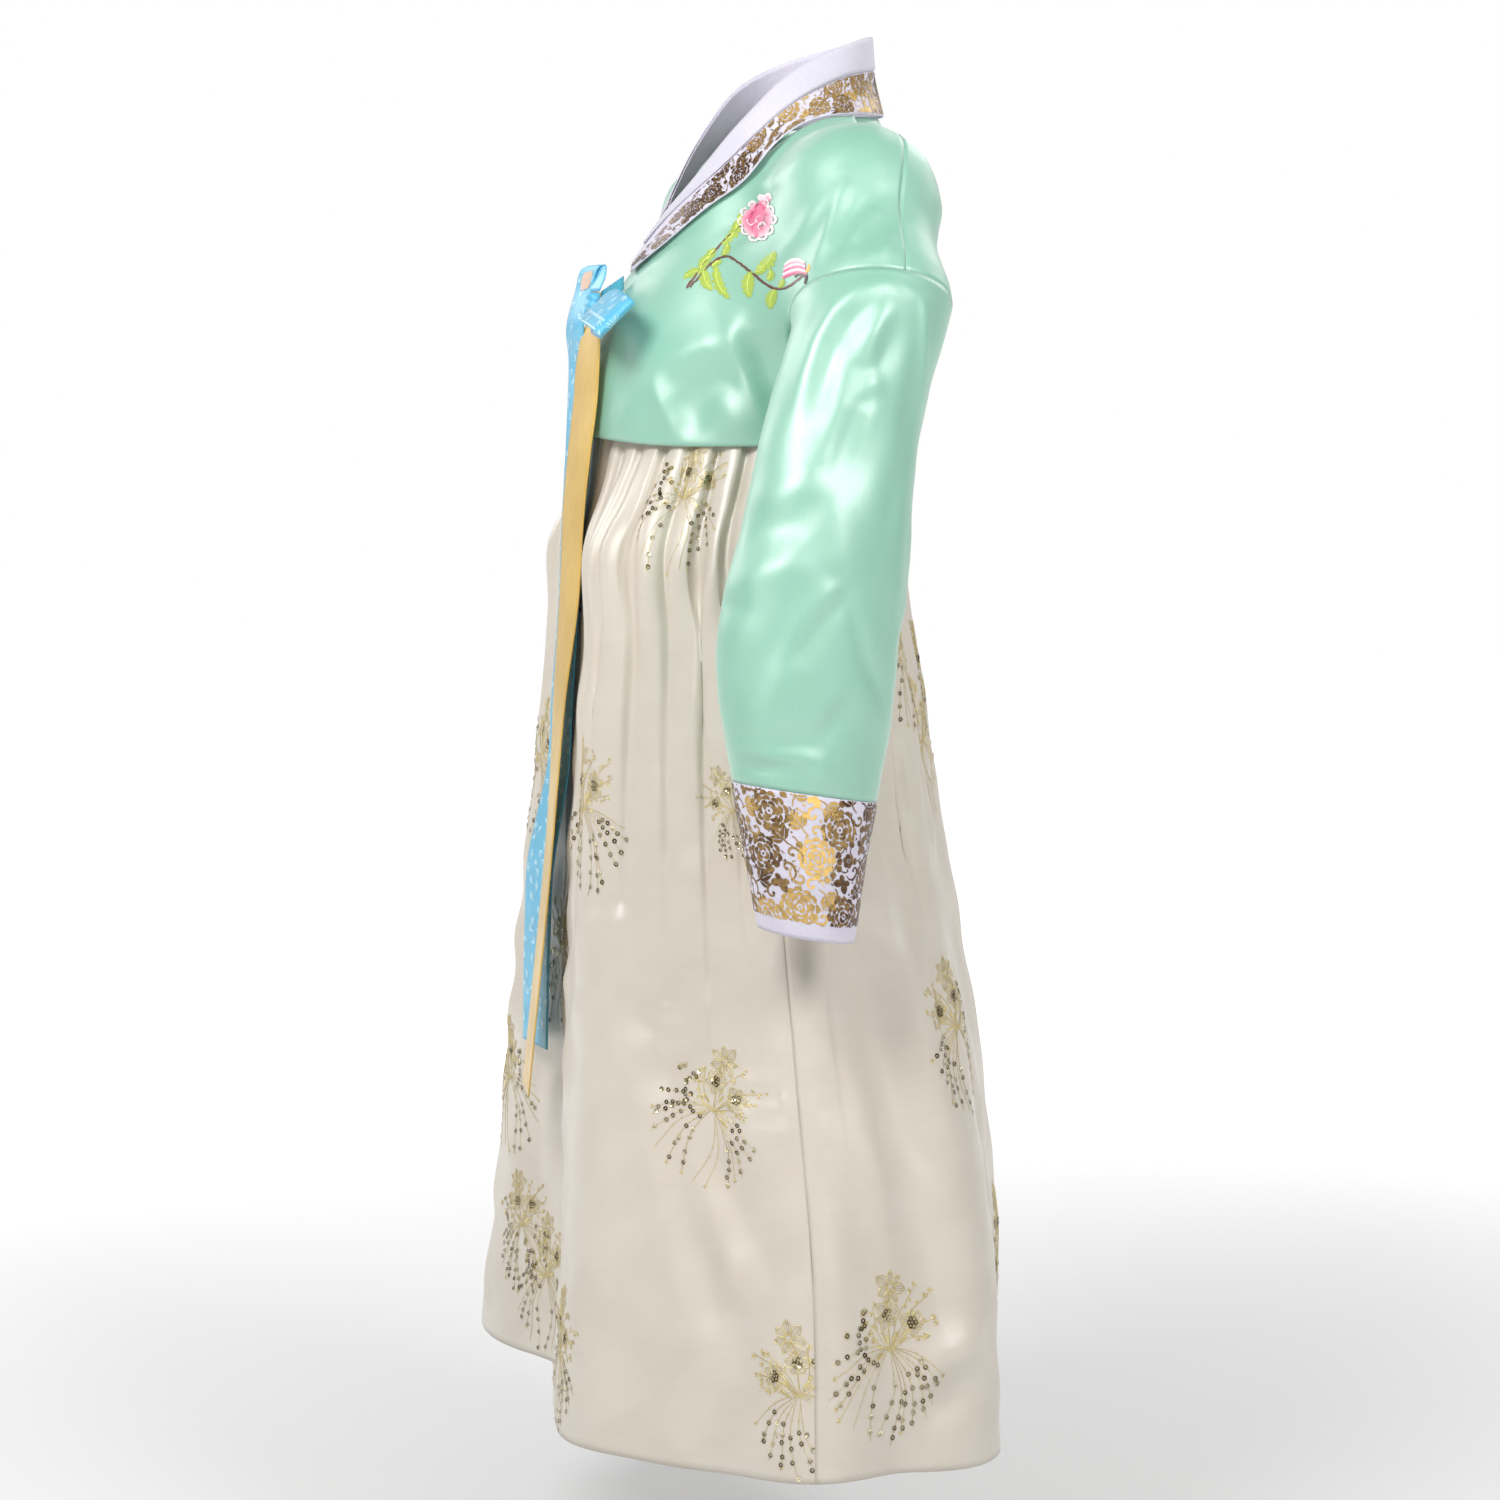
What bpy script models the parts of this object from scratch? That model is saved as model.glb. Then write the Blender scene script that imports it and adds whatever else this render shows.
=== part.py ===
"""A worn Korean hanbok: a short lined jacket (jeogori) over a pleated skirt (chima).

The clothes keep the hollow form of a standing wearer. Metres, +Z up, front is -Y, the
wearer's left is +X, and the origin is the middle of the neck's base, where the wearer
carries the set.
"""

import math

import bpy
import numpy as np

MM = 0.001

# Thickness of each cloth, lining included
JACKET_CLOTH = 1.5 * MM
SLEEVE_CLOTH = 1.5 * MM
CUFF_CLOTH = 1.8 * MM
COLLAR_CLOTH = 2.2 * MM
WHITE_COLLAR_CLOTH = 1.2 * MM
SKIRT_CLOTH = 1.5 * MM
BAND_CLOTH = 2.0 * MM
RIBBON_CLOTH = 1.2 * MM

# A seam leaves this much between two pieces, half of it on each
HALF_SEAM = 0.35 * MM
ARMHOLE_SEAM, BENT_ARM_SEAM = 0.6 * MM, 1.3 * MM
# A piece that lies on another is this far above it
LYING_GAP = 0.6 * MM
COLLAR_GAP = 1.7 * MM
# The outer front and its collar lie this far above the inner front
OVERLAP_RISE = 6.5 * MM

# The form that the jacket hangs on, by height.
# height, half width, half depth, middle in Y
TORSO = (
    (-0.340, 0.1690, 0.1475, -0.0365),
    (-0.300, 0.1680, 0.1450, -0.0360),
    (-0.220, 0.1600, 0.1385, -0.0310),
    (-0.170, 0.1520, 0.1295, -0.0210),
    (-0.130, 0.1410, 0.1160, -0.0100),
    (-0.090, 0.1220, 0.1040, -0.0020),
    (-0.060, 0.1020, 0.0940, 0.0020),
    (-0.030, 0.0860, 0.0840, 0.0030),
    (0.000, 0.0765, 0.0735, 0.0040),
    (0.040, 0.0650, 0.0640, 0.0060),
    (0.090, 0.0610, 0.0600, 0.0070),
)
# Shoulder and upper arm, as a chain of balls on the left side: x, y, z, radius
SHOULDER = (
    (0.050, 0.010, -0.062, 0.040),
    (0.150, 0.005, -0.090, 0.057),
    (0.226, -0.011, -0.182, 0.053),
    (0.240, -0.020, -0.225, 0.052),
)
FORM_BLEND = 0.050

# The armhole seam goes once round the upper arm
ARMHOLE_MIDDLE = np.array((0.224, -0.010, -0.178))
ARMHOLE_RADIUS = 0.055
ARM_DIRECTION = np.array((0.42, -0.15, -0.90))

# Shoulder seam, from the neck out to the top of the armhole
SHOULDER_SEAM = ((0.085, 0.026, -0.010), (0.130, 0.034, -0.028), (0.200, 0.022, -0.058))
# Side seam, from under the arm down to the hem
SIDE_SEAM_FOOT = (0.168, -0.010, -0.294)
# Front edge of a jacket front, from the shoulder seam under the collar to the hem
FRONT_EDGE = (
    (0.093, -0.028, -0.030),
    (0.078, -0.070, -0.055),
    (0.045, -0.100, -0.085),
    (0.012, -0.122, -0.115),
    (-0.028, -0.138, -0.145),
    (-0.048, -0.152, -0.180),
    (-0.054, -0.162, -0.230),
    (-0.058, -0.172, -0.281),
)
# Back of the neck, from the shoulder seam to the middle of the back
BACK_NECK = ((0.066, 0.052, -0.006), (0.035, 0.074, -0.006))
NAPE = (0.0, 0.080, -0.006)
BACK_HEM = -0.290

# Collar edges from the nape to the collar's end on the outer front.
# base x, y, z, top x, y, z
COLLAR = (
    (0.000, 0.080, -0.002, 0.000, 0.073, 0.070),
    (0.045, 0.068, -0.004, 0.040, 0.060, 0.065),
    (0.080, 0.024, -0.013, 0.064, 0.020, 0.052),
    (0.097, -0.028, -0.035, 0.069, -0.037, 0.020),
    (0.093, -0.070, -0.062, 0.058, -0.067, -0.016),
    (0.068, -0.096, -0.090, 0.036, -0.100, -0.060),
    (0.038, -0.116, -0.120, 0.004, -0.116, -0.098),
    (-0.004, -0.138, -0.146, -0.030, -0.134, -0.132),
)
# The white collar covers this share of the collar's width, from the top edge down
WHITE_SHARE = 0.40
# and stops short of its end by this share of the length
WHITE_END = 0.93

# Sleeve and cuff sections below the armhole. Lean is how far the front edge of a section
# is above its middle.
# x, y, z, half thickness, half width, share of the armhole's shape, lean
LEFT_ARM = (
    (0.243, -0.022, -0.202, 0.053, 0.0552, 0.60, 0.006),
    (0.256, -0.043, -0.254, 0.054, 0.0602, 0.15, 0.004),
    (0.270, -0.061, -0.311, 0.055, 0.0652, 0.00, 0.002),
    (0.283, -0.075, -0.367, 0.055, 0.0686, 0.00, 0.002),
    (0.294, -0.090, -0.423, 0.054, 0.0730, 0.00, 0.003),
    (0.300, -0.097, -0.463, 0.052, 0.0740, 0.00, 0.005),
    (0.304, -0.100, -0.495, 0.050, 0.0713, 0.00, 0.007),
    (0.308, -0.102, -0.539, 0.047, 0.0641, 0.00, 0.009),
    (0.309, -0.102, -0.568, 0.045, 0.0586, 0.00, 0.010),
    (0.309, -0.102, -0.628, 0.041, 0.0474, 0.00, 0.009),
    (0.307, -0.100, -0.684, 0.036, 0.0381, 0.00, 0.008),
)
# The right arm is bent, its cuff beside the front of the waist
RIGHT_ARM = (
    (-0.244, -0.020, -0.203, 0.053, 0.0556, 0.60, 0.004),
    (-0.254, 0.004, -0.256, 0.053, 0.0590, 0.15, 0.000),
    (-0.258, 0.039, -0.308, 0.053, 0.0600, 0.00, 0.000),
    (-0.265, 0.044, -0.337, 0.053, 0.0590, 0.00, 0.000),
    (-0.271, 0.036, -0.366, 0.052, 0.0580, 0.00, 0.000),
    (-0.275, 0.016, -0.388, 0.051, 0.0570, 0.00, 0.000),
    (-0.276, -0.011, -0.401, 0.050, 0.0560, 0.00, 0.000),
    (-0.275, -0.041, -0.401, 0.047, 0.0540, 0.00, 0.000),
    (-0.270, -0.084, -0.393, 0.041, 0.0460, 0.00, 0.000),
    (-0.266, -0.126, -0.384, 0.036, 0.0390, 0.00, 0.000),
)
# Section of each arm where its sleeve ends and its cuff begins
LEFT_CUFF_FROM, RIGHT_CUFF_FROM = 8, 7

# Outline of the skirt over the tips of its pleats.
# height, half width, half depth, middle in Y, pleat depth, share of the large folds
SKIRT = (
    (-0.190, 0.1500, 0.1280, -0.0250, 0.0030, 0.00),
    (-0.240, 0.1590, 0.1372, -0.0325, 0.0050, 0.00),
    (-0.290, 0.1652, 0.1425, -0.0356, 0.0070, 0.00),
    (-0.305, 0.1680, 0.1432, -0.0385, 0.0080, 0.05),
    (-0.335, 0.1800, 0.1450, -0.0500, 0.0095, 0.25),
    (-0.380, 0.1960, 0.1530, -0.0620, 0.0100, 0.50),
    (-0.440, 0.2090, 0.1560, -0.0590, 0.0095, 0.45),
    (-0.520, 0.2240, 0.1660, -0.0560, 0.0080, 0.45),
    (-0.610, 0.2420, 0.1760, -0.0520, 0.0055, 0.48),
    (-0.710, 0.2620, 0.1860, -0.0500, 0.0030, 0.56),
    (-0.820, 0.2900, 0.2000, -0.0450, 0.0010, 0.72),
    (-0.940, 0.3230, 0.2080, -0.0430, 0.0000, 0.86),
    (-1.040, 0.3450, 0.2110, -0.0460, 0.0000, 0.94),
    (-1.130, 0.3650, 0.2140, -0.0520, 0.0000, 1.00),
)
PLEATS = 36
# Where the points of one pleat lie along it, and how deep each is
PLEAT_PROFILE = ((0.00, 1.00), (0.36, 0.32), (0.74, 0.00), (0.92, 0.22))
SKIRT_SEAM_DEG = 75.0
# Large folds at the hem. Angles turn from the front towards the wearer's left.
# angle, half width in degrees, height outwards
SKIRT_FOLDS = (
    (-5.0, 15.0, -0.052),
    (28.0, 9.0, 0.026),
    (55.0, 10.0, -0.012),
    (76.0, 10.0, 0.008),
    (96.0, 11.0, -0.012),
    (119.0, 12.0, 0.015),
    (143.0, 12.0, -0.020),
    (165.0, 11.0, 0.012),
    (190.0, 14.0, -0.016),
    (214.0, 12.0, 0.016),
    (238.0, 11.0, -0.014),
    (262.0, 12.0, 0.012),
    (285.0, 10.0, -0.012),
    (322.0, 13.0, 0.010),
    (302.0, 9.0, -0.010),
)
HEM_WAVE = 0.004

# Chest band that carries the skirt: height, half width, half depth, middle in Y
BAND = (
    (-0.1894, 0.1500, 0.1280, -0.0250),
    (-0.1600, 0.1440, 0.1200, -0.0180),
    (-0.1350, 0.1370, 0.1120, -0.0110),
)

# Ribbons of the tie, which is knotted where the fronts cross. Turn is the way that the
# width points, in degrees from +X towards +Y, and crease is how far the middle is sunk.
# x, y, z, half width, turn, crease
GOLD_TAIL = (
    (0.004, -0.1765, -0.1788, 0.009, 2.0, 0.0000),
    (0.002, -0.1790, -0.196, 0.018, 2.0, 0.0010),
    (0.000, -0.1830, -0.220, 0.026, 2.0, 0.0020),
    (0.000, -0.1875, -0.253, 0.030, 2.0, 0.0020),
    (0.000, -0.1960, -0.296, 0.030, 2.0, 0.0020),
    (0.000, -0.2010, -0.340, 0.030, 1.0, 0.0015),
    (0.000, -0.2065, -0.428, 0.030, -1.0, 0.0015),
    (0.000, -0.2160, -0.516, 0.030, -7.0, 0.0010),
    (0.000, -0.2210, -0.584, 0.030, -10.0, 0.0010),
    (0.000, -0.2267, -0.650, 0.030, -11.0, 0.0010),
    (0.000, -0.2358, -0.739, 0.030, -11.0, 0.0010),
    (0.000, -0.2407, -0.784, 0.030, -11.0, 0.0010),
    (0.000, -0.2496, -0.865, 0.030, -11.0, 0.0000),
)
BLUE_TAIL = (
    (0.003, -0.1760, -0.1533, 0.007, 0.0, 0.0000),
    (-0.001, -0.1745, -0.1430, 0.009, 0.0, 0.0000),
    (-0.007, -0.1745, -0.1352, 0.011, 0.0, 0.0000),
    (-0.014, -0.1785, -0.1362, 0.014, 0.0, 0.0000),
    (-0.026, -0.1825, -0.1575, 0.017, 0.0, 0.0010),
    (-0.035, -0.1889, -0.1880, 0.019, 2.0, 0.0020),
    (-0.054, -0.1784, -0.2170, 0.020, 4.0, 0.0020),
    (-0.046, -0.1840, -0.2530, 0.020, -3.0, 0.0010),
    (-0.029, -0.1922, -0.2960, 0.022, 0.0, 0.0000),
    (-0.028, -0.1935, -0.3400, 0.029, 1.0, 0.0000),
    (-0.025, -0.1970, -0.3800, 0.030, 0.0, 0.0000),
    (-0.025, -0.1990, -0.4280, 0.030, 0.0, 0.0000),
    (-0.025, -0.2060, -0.5160, 0.030, 1.0, 0.0000),
    (-0.026, -0.2105, -0.5840, 0.030, 2.0, 0.0000),
    (-0.035, -0.2160, -0.6250, 0.030, 4.0, 0.0000),
    (-0.045, -0.2205, -0.6620, 0.030, 6.0, 0.0000),
    (-0.045, -0.2250, -0.7350, 0.030, 6.0, 0.0000),
    (-0.045, -0.2275, -0.8330, 0.030, 5.0, 0.0000),
)
# Short ends, on edge, from the knot to where each ribbon is sewn on
BLUE_ROOT = (
    (-0.006, -0.1530, -0.1500, 0.006, 0.0, 0.0),
    (0.000, -0.1600, -0.1550, 0.006, 0.0, 0.0),
    (0.003, -0.1682, -0.1600, 0.006, 0.0, 0.0),
)
GOLD_ROOT = (
    (-0.0070, -0.1760, -0.166, 0.007, 0.0, 0.0),
    (-0.0300, -0.1690, -0.166, 0.009, 0.0, 0.0),
    (-0.0500, -0.1580, -0.167, 0.009, 0.0, 0.0),
    (-0.0710, -0.1425, -0.168, 0.009, 0.0, 0.0),
)
# The loop of the bow points to the wearer's left. Way along it from the knot's middle, and
# half of its opening
LOOP = (
    (0.0106, 0.002),
    (0.030, 0.007),
    (0.052, 0.010),
    (0.074, 0.010),
    (0.086, 0.006),
    (0.090, 0.000),
)
LOOP_WAY = (1.0, -0.17, -0.08)
LOOP_HALF_WIDTH = 0.018
LOOP_LEAN_DEG = 30.0
KNOT_MIDDLE = (0.004, -0.1760, -0.1660)
KNOT_SIZE = (0.010, 0.007, 0.012)

MINT = (0.36, 0.76, 0.58)
IVORY = (0.80, 0.75, 0.68)
WHITE = (0.86, 0.85, 0.92)
BRIGHT_WHITE = (0.80, 0.78, 0.84)
BLUE = (0.15, 0.55, 0.76)
GOLD = (0.80, 0.56, 0.16)


def smooth_through(knots, values, at):
    """A smooth curve through the rows of a table, read at the given places."""
    knots, values = np.asarray(knots, float), np.asarray(values, float)
    at = np.clip(at, knots[0], knots[-1])
    slopes = np.gradient(values, knots, axis=0)
    left = np.clip(np.searchsorted(knots, at, side="right") - 1, 0, len(knots) - 2)
    step = knots[left + 1] - knots[left]
    t = (at - knots[left]) / step
    if values.ndim > 1:
        t, step = t[..., None], step[..., None]
    rise = t * t * (3 - 2 * t)
    start_bend, end_bend = t * (1 - t) ** 2 * step, t * t * (t - 1) * step
    ends = values[left] * (1 - rise) + values[left + 1] * rise
    return ends + slopes[left] * start_bend + slopes[left + 1] * end_bend


def eased(x, start, end):
    """0 at start, 1 at end, and smooth between."""
    t = np.clip((x - start) / (end - start), 0.0, 1.0)
    return t * t * (3 - 2 * t)


def unit(vectors):
    return vectors / np.linalg.norm(vectors, axis=-1, keepdims=True)


def mirrored(points):
    return points * np.array((-1.0, 1.0, 1.0))


def along_curve(points, count):
    """Evenly spaced points on the smooth curve through the given ones."""
    points = np.asarray(points, float)
    at = np.concatenate([[0], np.cumsum(np.linalg.norm(np.diff(points, axis=0), axis=1))])
    return smooth_through(at, points, np.linspace(0, at[-1], count))


def blended(a, b, radius):
    """The nearer of two distances, rounded where they meet."""
    h = np.clip(0.5 + 0.5 * (b - a) / radius, 0.0, 1.0)
    return b * (1 - h) + a * h - radius * h * (1 - h)


def form_distance(points):
    """Distance outside the form that the jacket hangs on, less than 0 inside it."""
    table = np.array(TORSO)
    x, y, z = points[..., 0], points[..., 1], points[..., 2]
    half_width, half_depth, middle = np.moveaxis(smooth_through(table[:, 0], table[:, 1:], z), -1, 0)
    side, front = x / half_width, (y - middle) / half_depth
    share = np.hypot(side, front) + 1e-9
    distance = share * (share - 1) / np.hypot(side / half_width, front / half_depth)
    folded = np.stack([np.abs(x), y, z], axis=-1)
    balls = np.array(SHOULDER)
    for (*start, start_radius), (*end, end_radius) in zip(balls[:-1], balls[1:]):
        way = np.subtract(end, start)
        t = np.clip((folded - start) @ way / (way @ way), 0.0, 1.0)
        radius = start_radius + t * (end_radius - start_radius)
        chain = np.linalg.norm(folded - start - t[..., None] * way, axis=-1) - radius
        distance = blended(distance, chain, FORM_BLEND)
    return distance


def form_outwards(points):
    """The form's outward direction at each point, with the slope of the distance as its length."""
    step = 0.5 * MM
    slopes = [form_distance(points + step * d) - form_distance(points - step * d) for d in np.eye(3)]
    return np.stack(slopes, axis=-1) / (2 * step)


def on_form(points, level=0.0):
    """The points moved onto the surface that lies level outside the form."""
    points = np.array(points, float)
    for _ in range(12):
        slope = form_outwards(points)
        miss = form_distance(points) - level
        points -= 0.9 * slope * (miss / np.maximum((slope**2).sum(-1), 0.05))[..., None]
    return points


def arm_frame(direction, side):
    """Outward and forward directions across an arm that runs along direction."""
    direction = unit(direction)
    outward = np.array((side, 0.0, 0.0))
    outward = unit(outward - direction * (outward @ direction))
    return outward, side * np.cross(direction, outward)


def armhole(angles):
    """Points of the left armhole seam. 0 is its top, 90 its front and 180 the armpit."""
    outward, forward = arm_frame(ARM_DIRECTION, 1)
    turn = np.radians(angles)[:, None]
    ring = ARMHOLE_MIDDLE + ARMHOLE_RADIUS * (np.cos(turn) * outward + np.sin(turn) * forward)
    return on_form(ring)


def patch(top, bottom, inner, outer):
    """A grid of points between four edges that share their corners."""
    v = np.linspace(0, 1, len(inner))[:, None, None]
    u = np.linspace(0, 1, len(top))[None, :, None]
    ruled = (1 - v) * top + v * bottom + (1 - u) * inner[:, None] + u * outer[:, None]
    corners = (1 - v) * ((1 - u) * top[0] + u * top[-1]) + v * ((1 - u) * bottom[0] + u * bottom[-1])
    return ruled - corners


def edge_drawn(edge, next_in, by=HALF_SEAM):
    """An edge moved half a seam towards the next points in, square to its own run."""
    way = next_in - edge
    run = unit(np.gradient(edge, axis=0))
    return edge + by * unit(way - run * (way * run).sum(-1, keepdims=True))


def drawn_in(grid, first_row=False, last_row=False, first_column=False, last_column=False):
    """The grid with the named seam edges drawn back, so that the next piece has room."""
    made = grid.copy()
    if first_row:
        made[0] = edge_drawn(grid[0], grid[1])
    if last_row:
        made[-1] = edge_drawn(grid[-1], grid[-2])
    if first_column:
        made[:, 0] += edge_drawn(grid[:, 0], grid[:, 1]) - grid[:, 0]
    if last_column:
        made[:, -1] += edge_drawn(grid[:, -1], grid[:, -2]) - grid[:, -1]
    return made


def relaxed(grid, share, rounds=30):
    """The grid hung more evenly between its edges. Share says how far, column by column."""
    grid = grid.copy()
    for _ in range(rounds):
        beside = grid[1:-1, :-2] + grid[1:-1, 2:] + grid[:-2, 1:-1] + grid[2:, 1:-1]
        grid[1:-1, 1:-1] += share[1:-1, None] * (beside / 4 - grid[1:-1, 1:-1])
        inside = form_distance(grid) < 0
        grid[inside] = on_form(grid[inside])
    return grid


def grid_outwards(grid, closed):
    """Unit normals of a grid of points, whose columns meet again if it is closed."""
    if closed:
        across = np.roll(grid, -1, axis=1) - np.roll(grid, 1, axis=1)
    else:
        across = np.gradient(grid, axis=1)
    return unit(np.cross(across, np.gradient(grid, axis=0)))


def material(name, colour, roughness, metallic=0.0):
    made = bpy.data.materials.get(name)
    if made is None:
        made = bpy.data.materials.new(name)
        made.use_nodes = True
        shader = made.node_tree.nodes["Principled BSDF"]
        shader.inputs["Base Color"].default_value = (*colour, 1.0)
        shader.inputs["Roughness"].default_value = roughness
        shader.inputs["Metallic"].default_value = metallic
    return made


def wall(name, outer, inner, finish, closed=False):
    """One closed solid between two grids. Closed joins the last column to the first."""
    rows, columns = outer.shape[:2]
    points = np.concatenate([outer.reshape(-1, 3), inner.reshape(-1, 3)])
    inside = rows * columns

    def corner(row, column):
        return row * columns + column % columns

    faces = []
    for row in range(rows - 1):
        for column in range(columns if closed else columns - 1):
            a, b = corner(row, column), corner(row, column + 1)
            c, d = corner(row + 1, column + 1), corner(row + 1, column)
            faces += [(a, b, c), (a, c, d)]
            faces += [(inside + c, inside + b, inside + a), (inside + d, inside + c, inside + a)]
    edge = [corner(0, column) for column in range(columns)]
    foot = [corner(rows - 1, column) for column in range(columns)]
    if closed:
        rims = [edge + edge[:1], (foot + foot[:1])[::-1]]
    else:
        left = [corner(row, 0) for row in range(rows)]
        right = [corner(row, columns - 1) for row in range(rows)]
        rims = [edge, right, foot[::-1], left[::-1]]
    for rim in rims:
        for a, b in zip(rim[:-1], rim[1:]):
            faces += [(b, a, inside + a), (b, inside + a, inside + b)]
    mesh = bpy.data.meshes.new(name)
    mesh.from_pydata([tuple(p) for p in points], [], faces)
    if signed_volume(points, faces) < 0:
        mesh.flip_normals()
    mesh.shade_smooth()
    mesh.set_sharp_from_angle(angle=math.radians(50))
    made = bpy.data.objects.new(name, mesh)
    made.data.materials.append(finish)
    bpy.context.scene.collection.objects.link(made)
    return made


def signed_volume(points, faces):
    a, b, c = (points[np.array(faces)[:, k]] for k in range(3))
    return float((a * np.cross(b, c)).sum())


def front_rise(x):
    """How far the outer front is lifted over the inner one at each x."""
    return OVERLAP_RISE * (1 - eased(x, 0.045, 0.125))


ARMHOLE_ROWS = 13
SIDE_ROWS = 5
FRONT_COLUMNS = 13


def side_edge(half_turn):
    """Armhole and side seam of the left side, from its top. half_turn is 180 or -180."""
    seam = armhole(np.linspace(0, half_turn, ARMHOLE_ROWS))
    foot = on_form(np.array([SIDE_SEAM_FOOT]))[0]
    side = on_form(np.linspace(seam[-1], foot, SIDE_ROWS))
    return np.concatenate([seam, side[1:]])


def shoulder_line(count):
    top = armhole(np.array([0.0]))
    return on_form(along_curve(np.concatenate([np.array(SHOULDER_SEAM), top]), count))


def jacket_front_grid():
    """The outer (left) front, before it is moved onto its level."""
    outer = side_edge(180.0)
    rows = len(outer)
    top = shoulder_line(FRONT_COLUMNS)
    inner = on_form(along_curve([top[0], *FRONT_EDGE], rows))
    halfway = (0.095, -0.150, -0.292)
    bottom = on_form(along_curve([inner[-1], halfway, outer[-1]], FRONT_COLUMNS))
    return patch(top, bottom, inner, outer)


def jacket_fronts():
    satin = material("mint_satin", MINT, 0.35)
    share = 0.8 * eased(np.linspace(0, 1, FRONT_COLUMNS), 0.30, 0.65)
    grid = relaxed(on_form(jacket_front_grid()), share)
    on_level = drawn_in(grid, first_row=True, last_column=True)
    outwards = unit(form_outwards(on_level))
    lifted = on_level + front_rise(on_level[..., :1]) * outwards
    wall("jeogori_front_left", lifted + JACKET_CLOTH * outwards, lifted, satin)
    on_level, outwards = mirrored(on_level), mirrored(outwards)
    wall("jeogori_front_right", on_level + JACKET_CLOTH * outwards, on_level, satin)


def jacket_back():
    """The back is one piece, from the left armhole to the right one."""
    half_columns = FRONT_COLUMNS
    side = side_edge(-180.0)
    shoulder = shoulder_line(half_columns)[::-1]
    neck = on_form(along_curve([shoulder[-1], *BACK_NECK, NAPE], 5))
    top = np.concatenate([shoulder, neck[1:]])
    top = np.concatenate([top, mirrored(top[-2::-1])])
    halfway = (0.120, 0.085, BACK_HEM)
    middle = (0.0, 0.117, BACK_HEM)
    bottom = on_form(along_curve([side[-1], halfway, middle], (len(top) + 1) // 2))
    bottom = np.concatenate([bottom, mirrored(bottom[-2::-1])])
    grid = patch(top, bottom, side, mirrored(side))
    from_middle = np.abs(np.linspace(-1, 1, len(top)))
    grid = relaxed(on_form(grid), 0.8 * eased(from_middle, 0.35, 0.65))
    neck_start, neck_end = half_columns - 1, len(top) - half_columns
    drawn = drawn_in(grid, first_row=True, first_column=True, last_column=True)
    drawn[0, neck_start + 1 : neck_end] = grid[0, neck_start + 1 : neck_end]
    outwards = unit(form_outwards(drawn))
    wall("jeogori_back", drawn + JACKET_CLOTH * outwards, drawn, material("mint_satin", MINT, 0.35))


def collar_grid(rows, places):
    """Collar points on the form. places run from -1 at the inner end over 0 at the nape to 1."""
    half = np.array(COLLAR)
    table = np.concatenate([half[:0:-1] * (-1, 1, 1, -1, 1, 1), half])
    lengths = np.linalg.norm(np.diff(table[:, :3], axis=0), axis=1)
    at = np.concatenate([[0], np.cumsum(lengths)])
    at = at / at[-1] * 2 - 1
    edges = smooth_through(at, table, places)
    base, top = edges[:, :3], edges[:, 3:]
    return np.stack([base + share * (top - base) for share in rows])


def collar_rise(places):
    """The outer half of the collar is lifted with the outer front."""
    return OVERLAP_RISE * eased(places, 0.30, 0.62)


# The seamed lower edge of the collar stands off a little more, by its rows
COLLAR_EDGE_LIFT = (0.9 * MM, 0.3 * MM, 0.0, 0.0, 0.0)
COLLAR_SHARES = np.array((0.0, 0.3, 1.0 - WHITE_SHARE, 1.0 - WHITE_SHARE / 2, 1.0))


def collars():
    """The printed collar, and the white one on its upper edge, on the same grid of points."""
    places = np.linspace(-0.86, 1.0, 53)
    grid = on_form(collar_grid(COLLAR_SHARES, places))
    outwards = unit(form_outwards(grid))
    lift = (JACKET_CLOTH + COLLAR_GAP + collar_rise(places))[None, :, None]
    lift = lift + np.array(COLLAR_EDGE_LIFT)[:, None, None]
    inner = grid + lift * outwards
    outer = inner + COLLAR_CLOTH * outwards
    wall("git_collar", outer, inner, material("printed_cloth", WHITE, 0.45))
    kept = (places > -0.80) & (places < WHITE_END)
    places, under, outwards = places[kept], outer[2:, kept], outwards[2:, kept]
    taper = (1 - eased(places, 0.60, 1.02))[:, None]
    top = under[2]
    rows = [top + share * (0.20 + 0.80 * taper) * (under[0] - top) for share in (1.0, 0.5, 0.0)]
    rows = np.stack(rows) + LYING_GAP * outwards
    cloth = material("white_collar_cloth", BRIGHT_WHITE, 0.6)
    wall("dongjeong_collar", rows + WHITE_COLLAR_CLOTH * outwards, rows, cloth)


SLEEVE_COLUMNS = 24


def arm_rings(sections, side):
    """Smooth rings round an arm from the armhole down, and where each section comes in them."""
    angles = np.linspace(0, 360, SLEEVE_COLUMNS, endpoint=False)
    start = armhole(angles) if side > 0 else mirrored(armhole(angles))
    turn = np.radians(angles)[:, None]
    chain = np.array([ARMHOLE_MIDDLE * (side, 1, 1), *(row[:3] for row in sections)])
    rings = [start]
    for middle, way, row in zip(chain[1:], np.gradient(chain, axis=0)[1:], sections):
        half_thickness, half_width, share, lean = row[3:]
        outward, forward = arm_frame(way, side)
        ring = middle + half_thickness * np.cos(turn) * outward
        ring = ring + np.sin(turn) * (half_width * forward + (0.0, 0.0, lean))
        rings.append(ring + share * (start + (middle - chain[0]) - ring))
    rings = np.array(rings)
    at = np.concatenate([[0], np.cumsum(np.linalg.norm(np.diff(chain, axis=0), axis=1))])
    return rings, at


def arm_part(rings, at, start, end, count):
    """Rings between two of the sections, one to each even step."""
    flat = smooth_through(at, rings.reshape(len(rings), -1), np.linspace(at[start], at[end], count))
    return flat.reshape(count, -1, 3)


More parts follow.
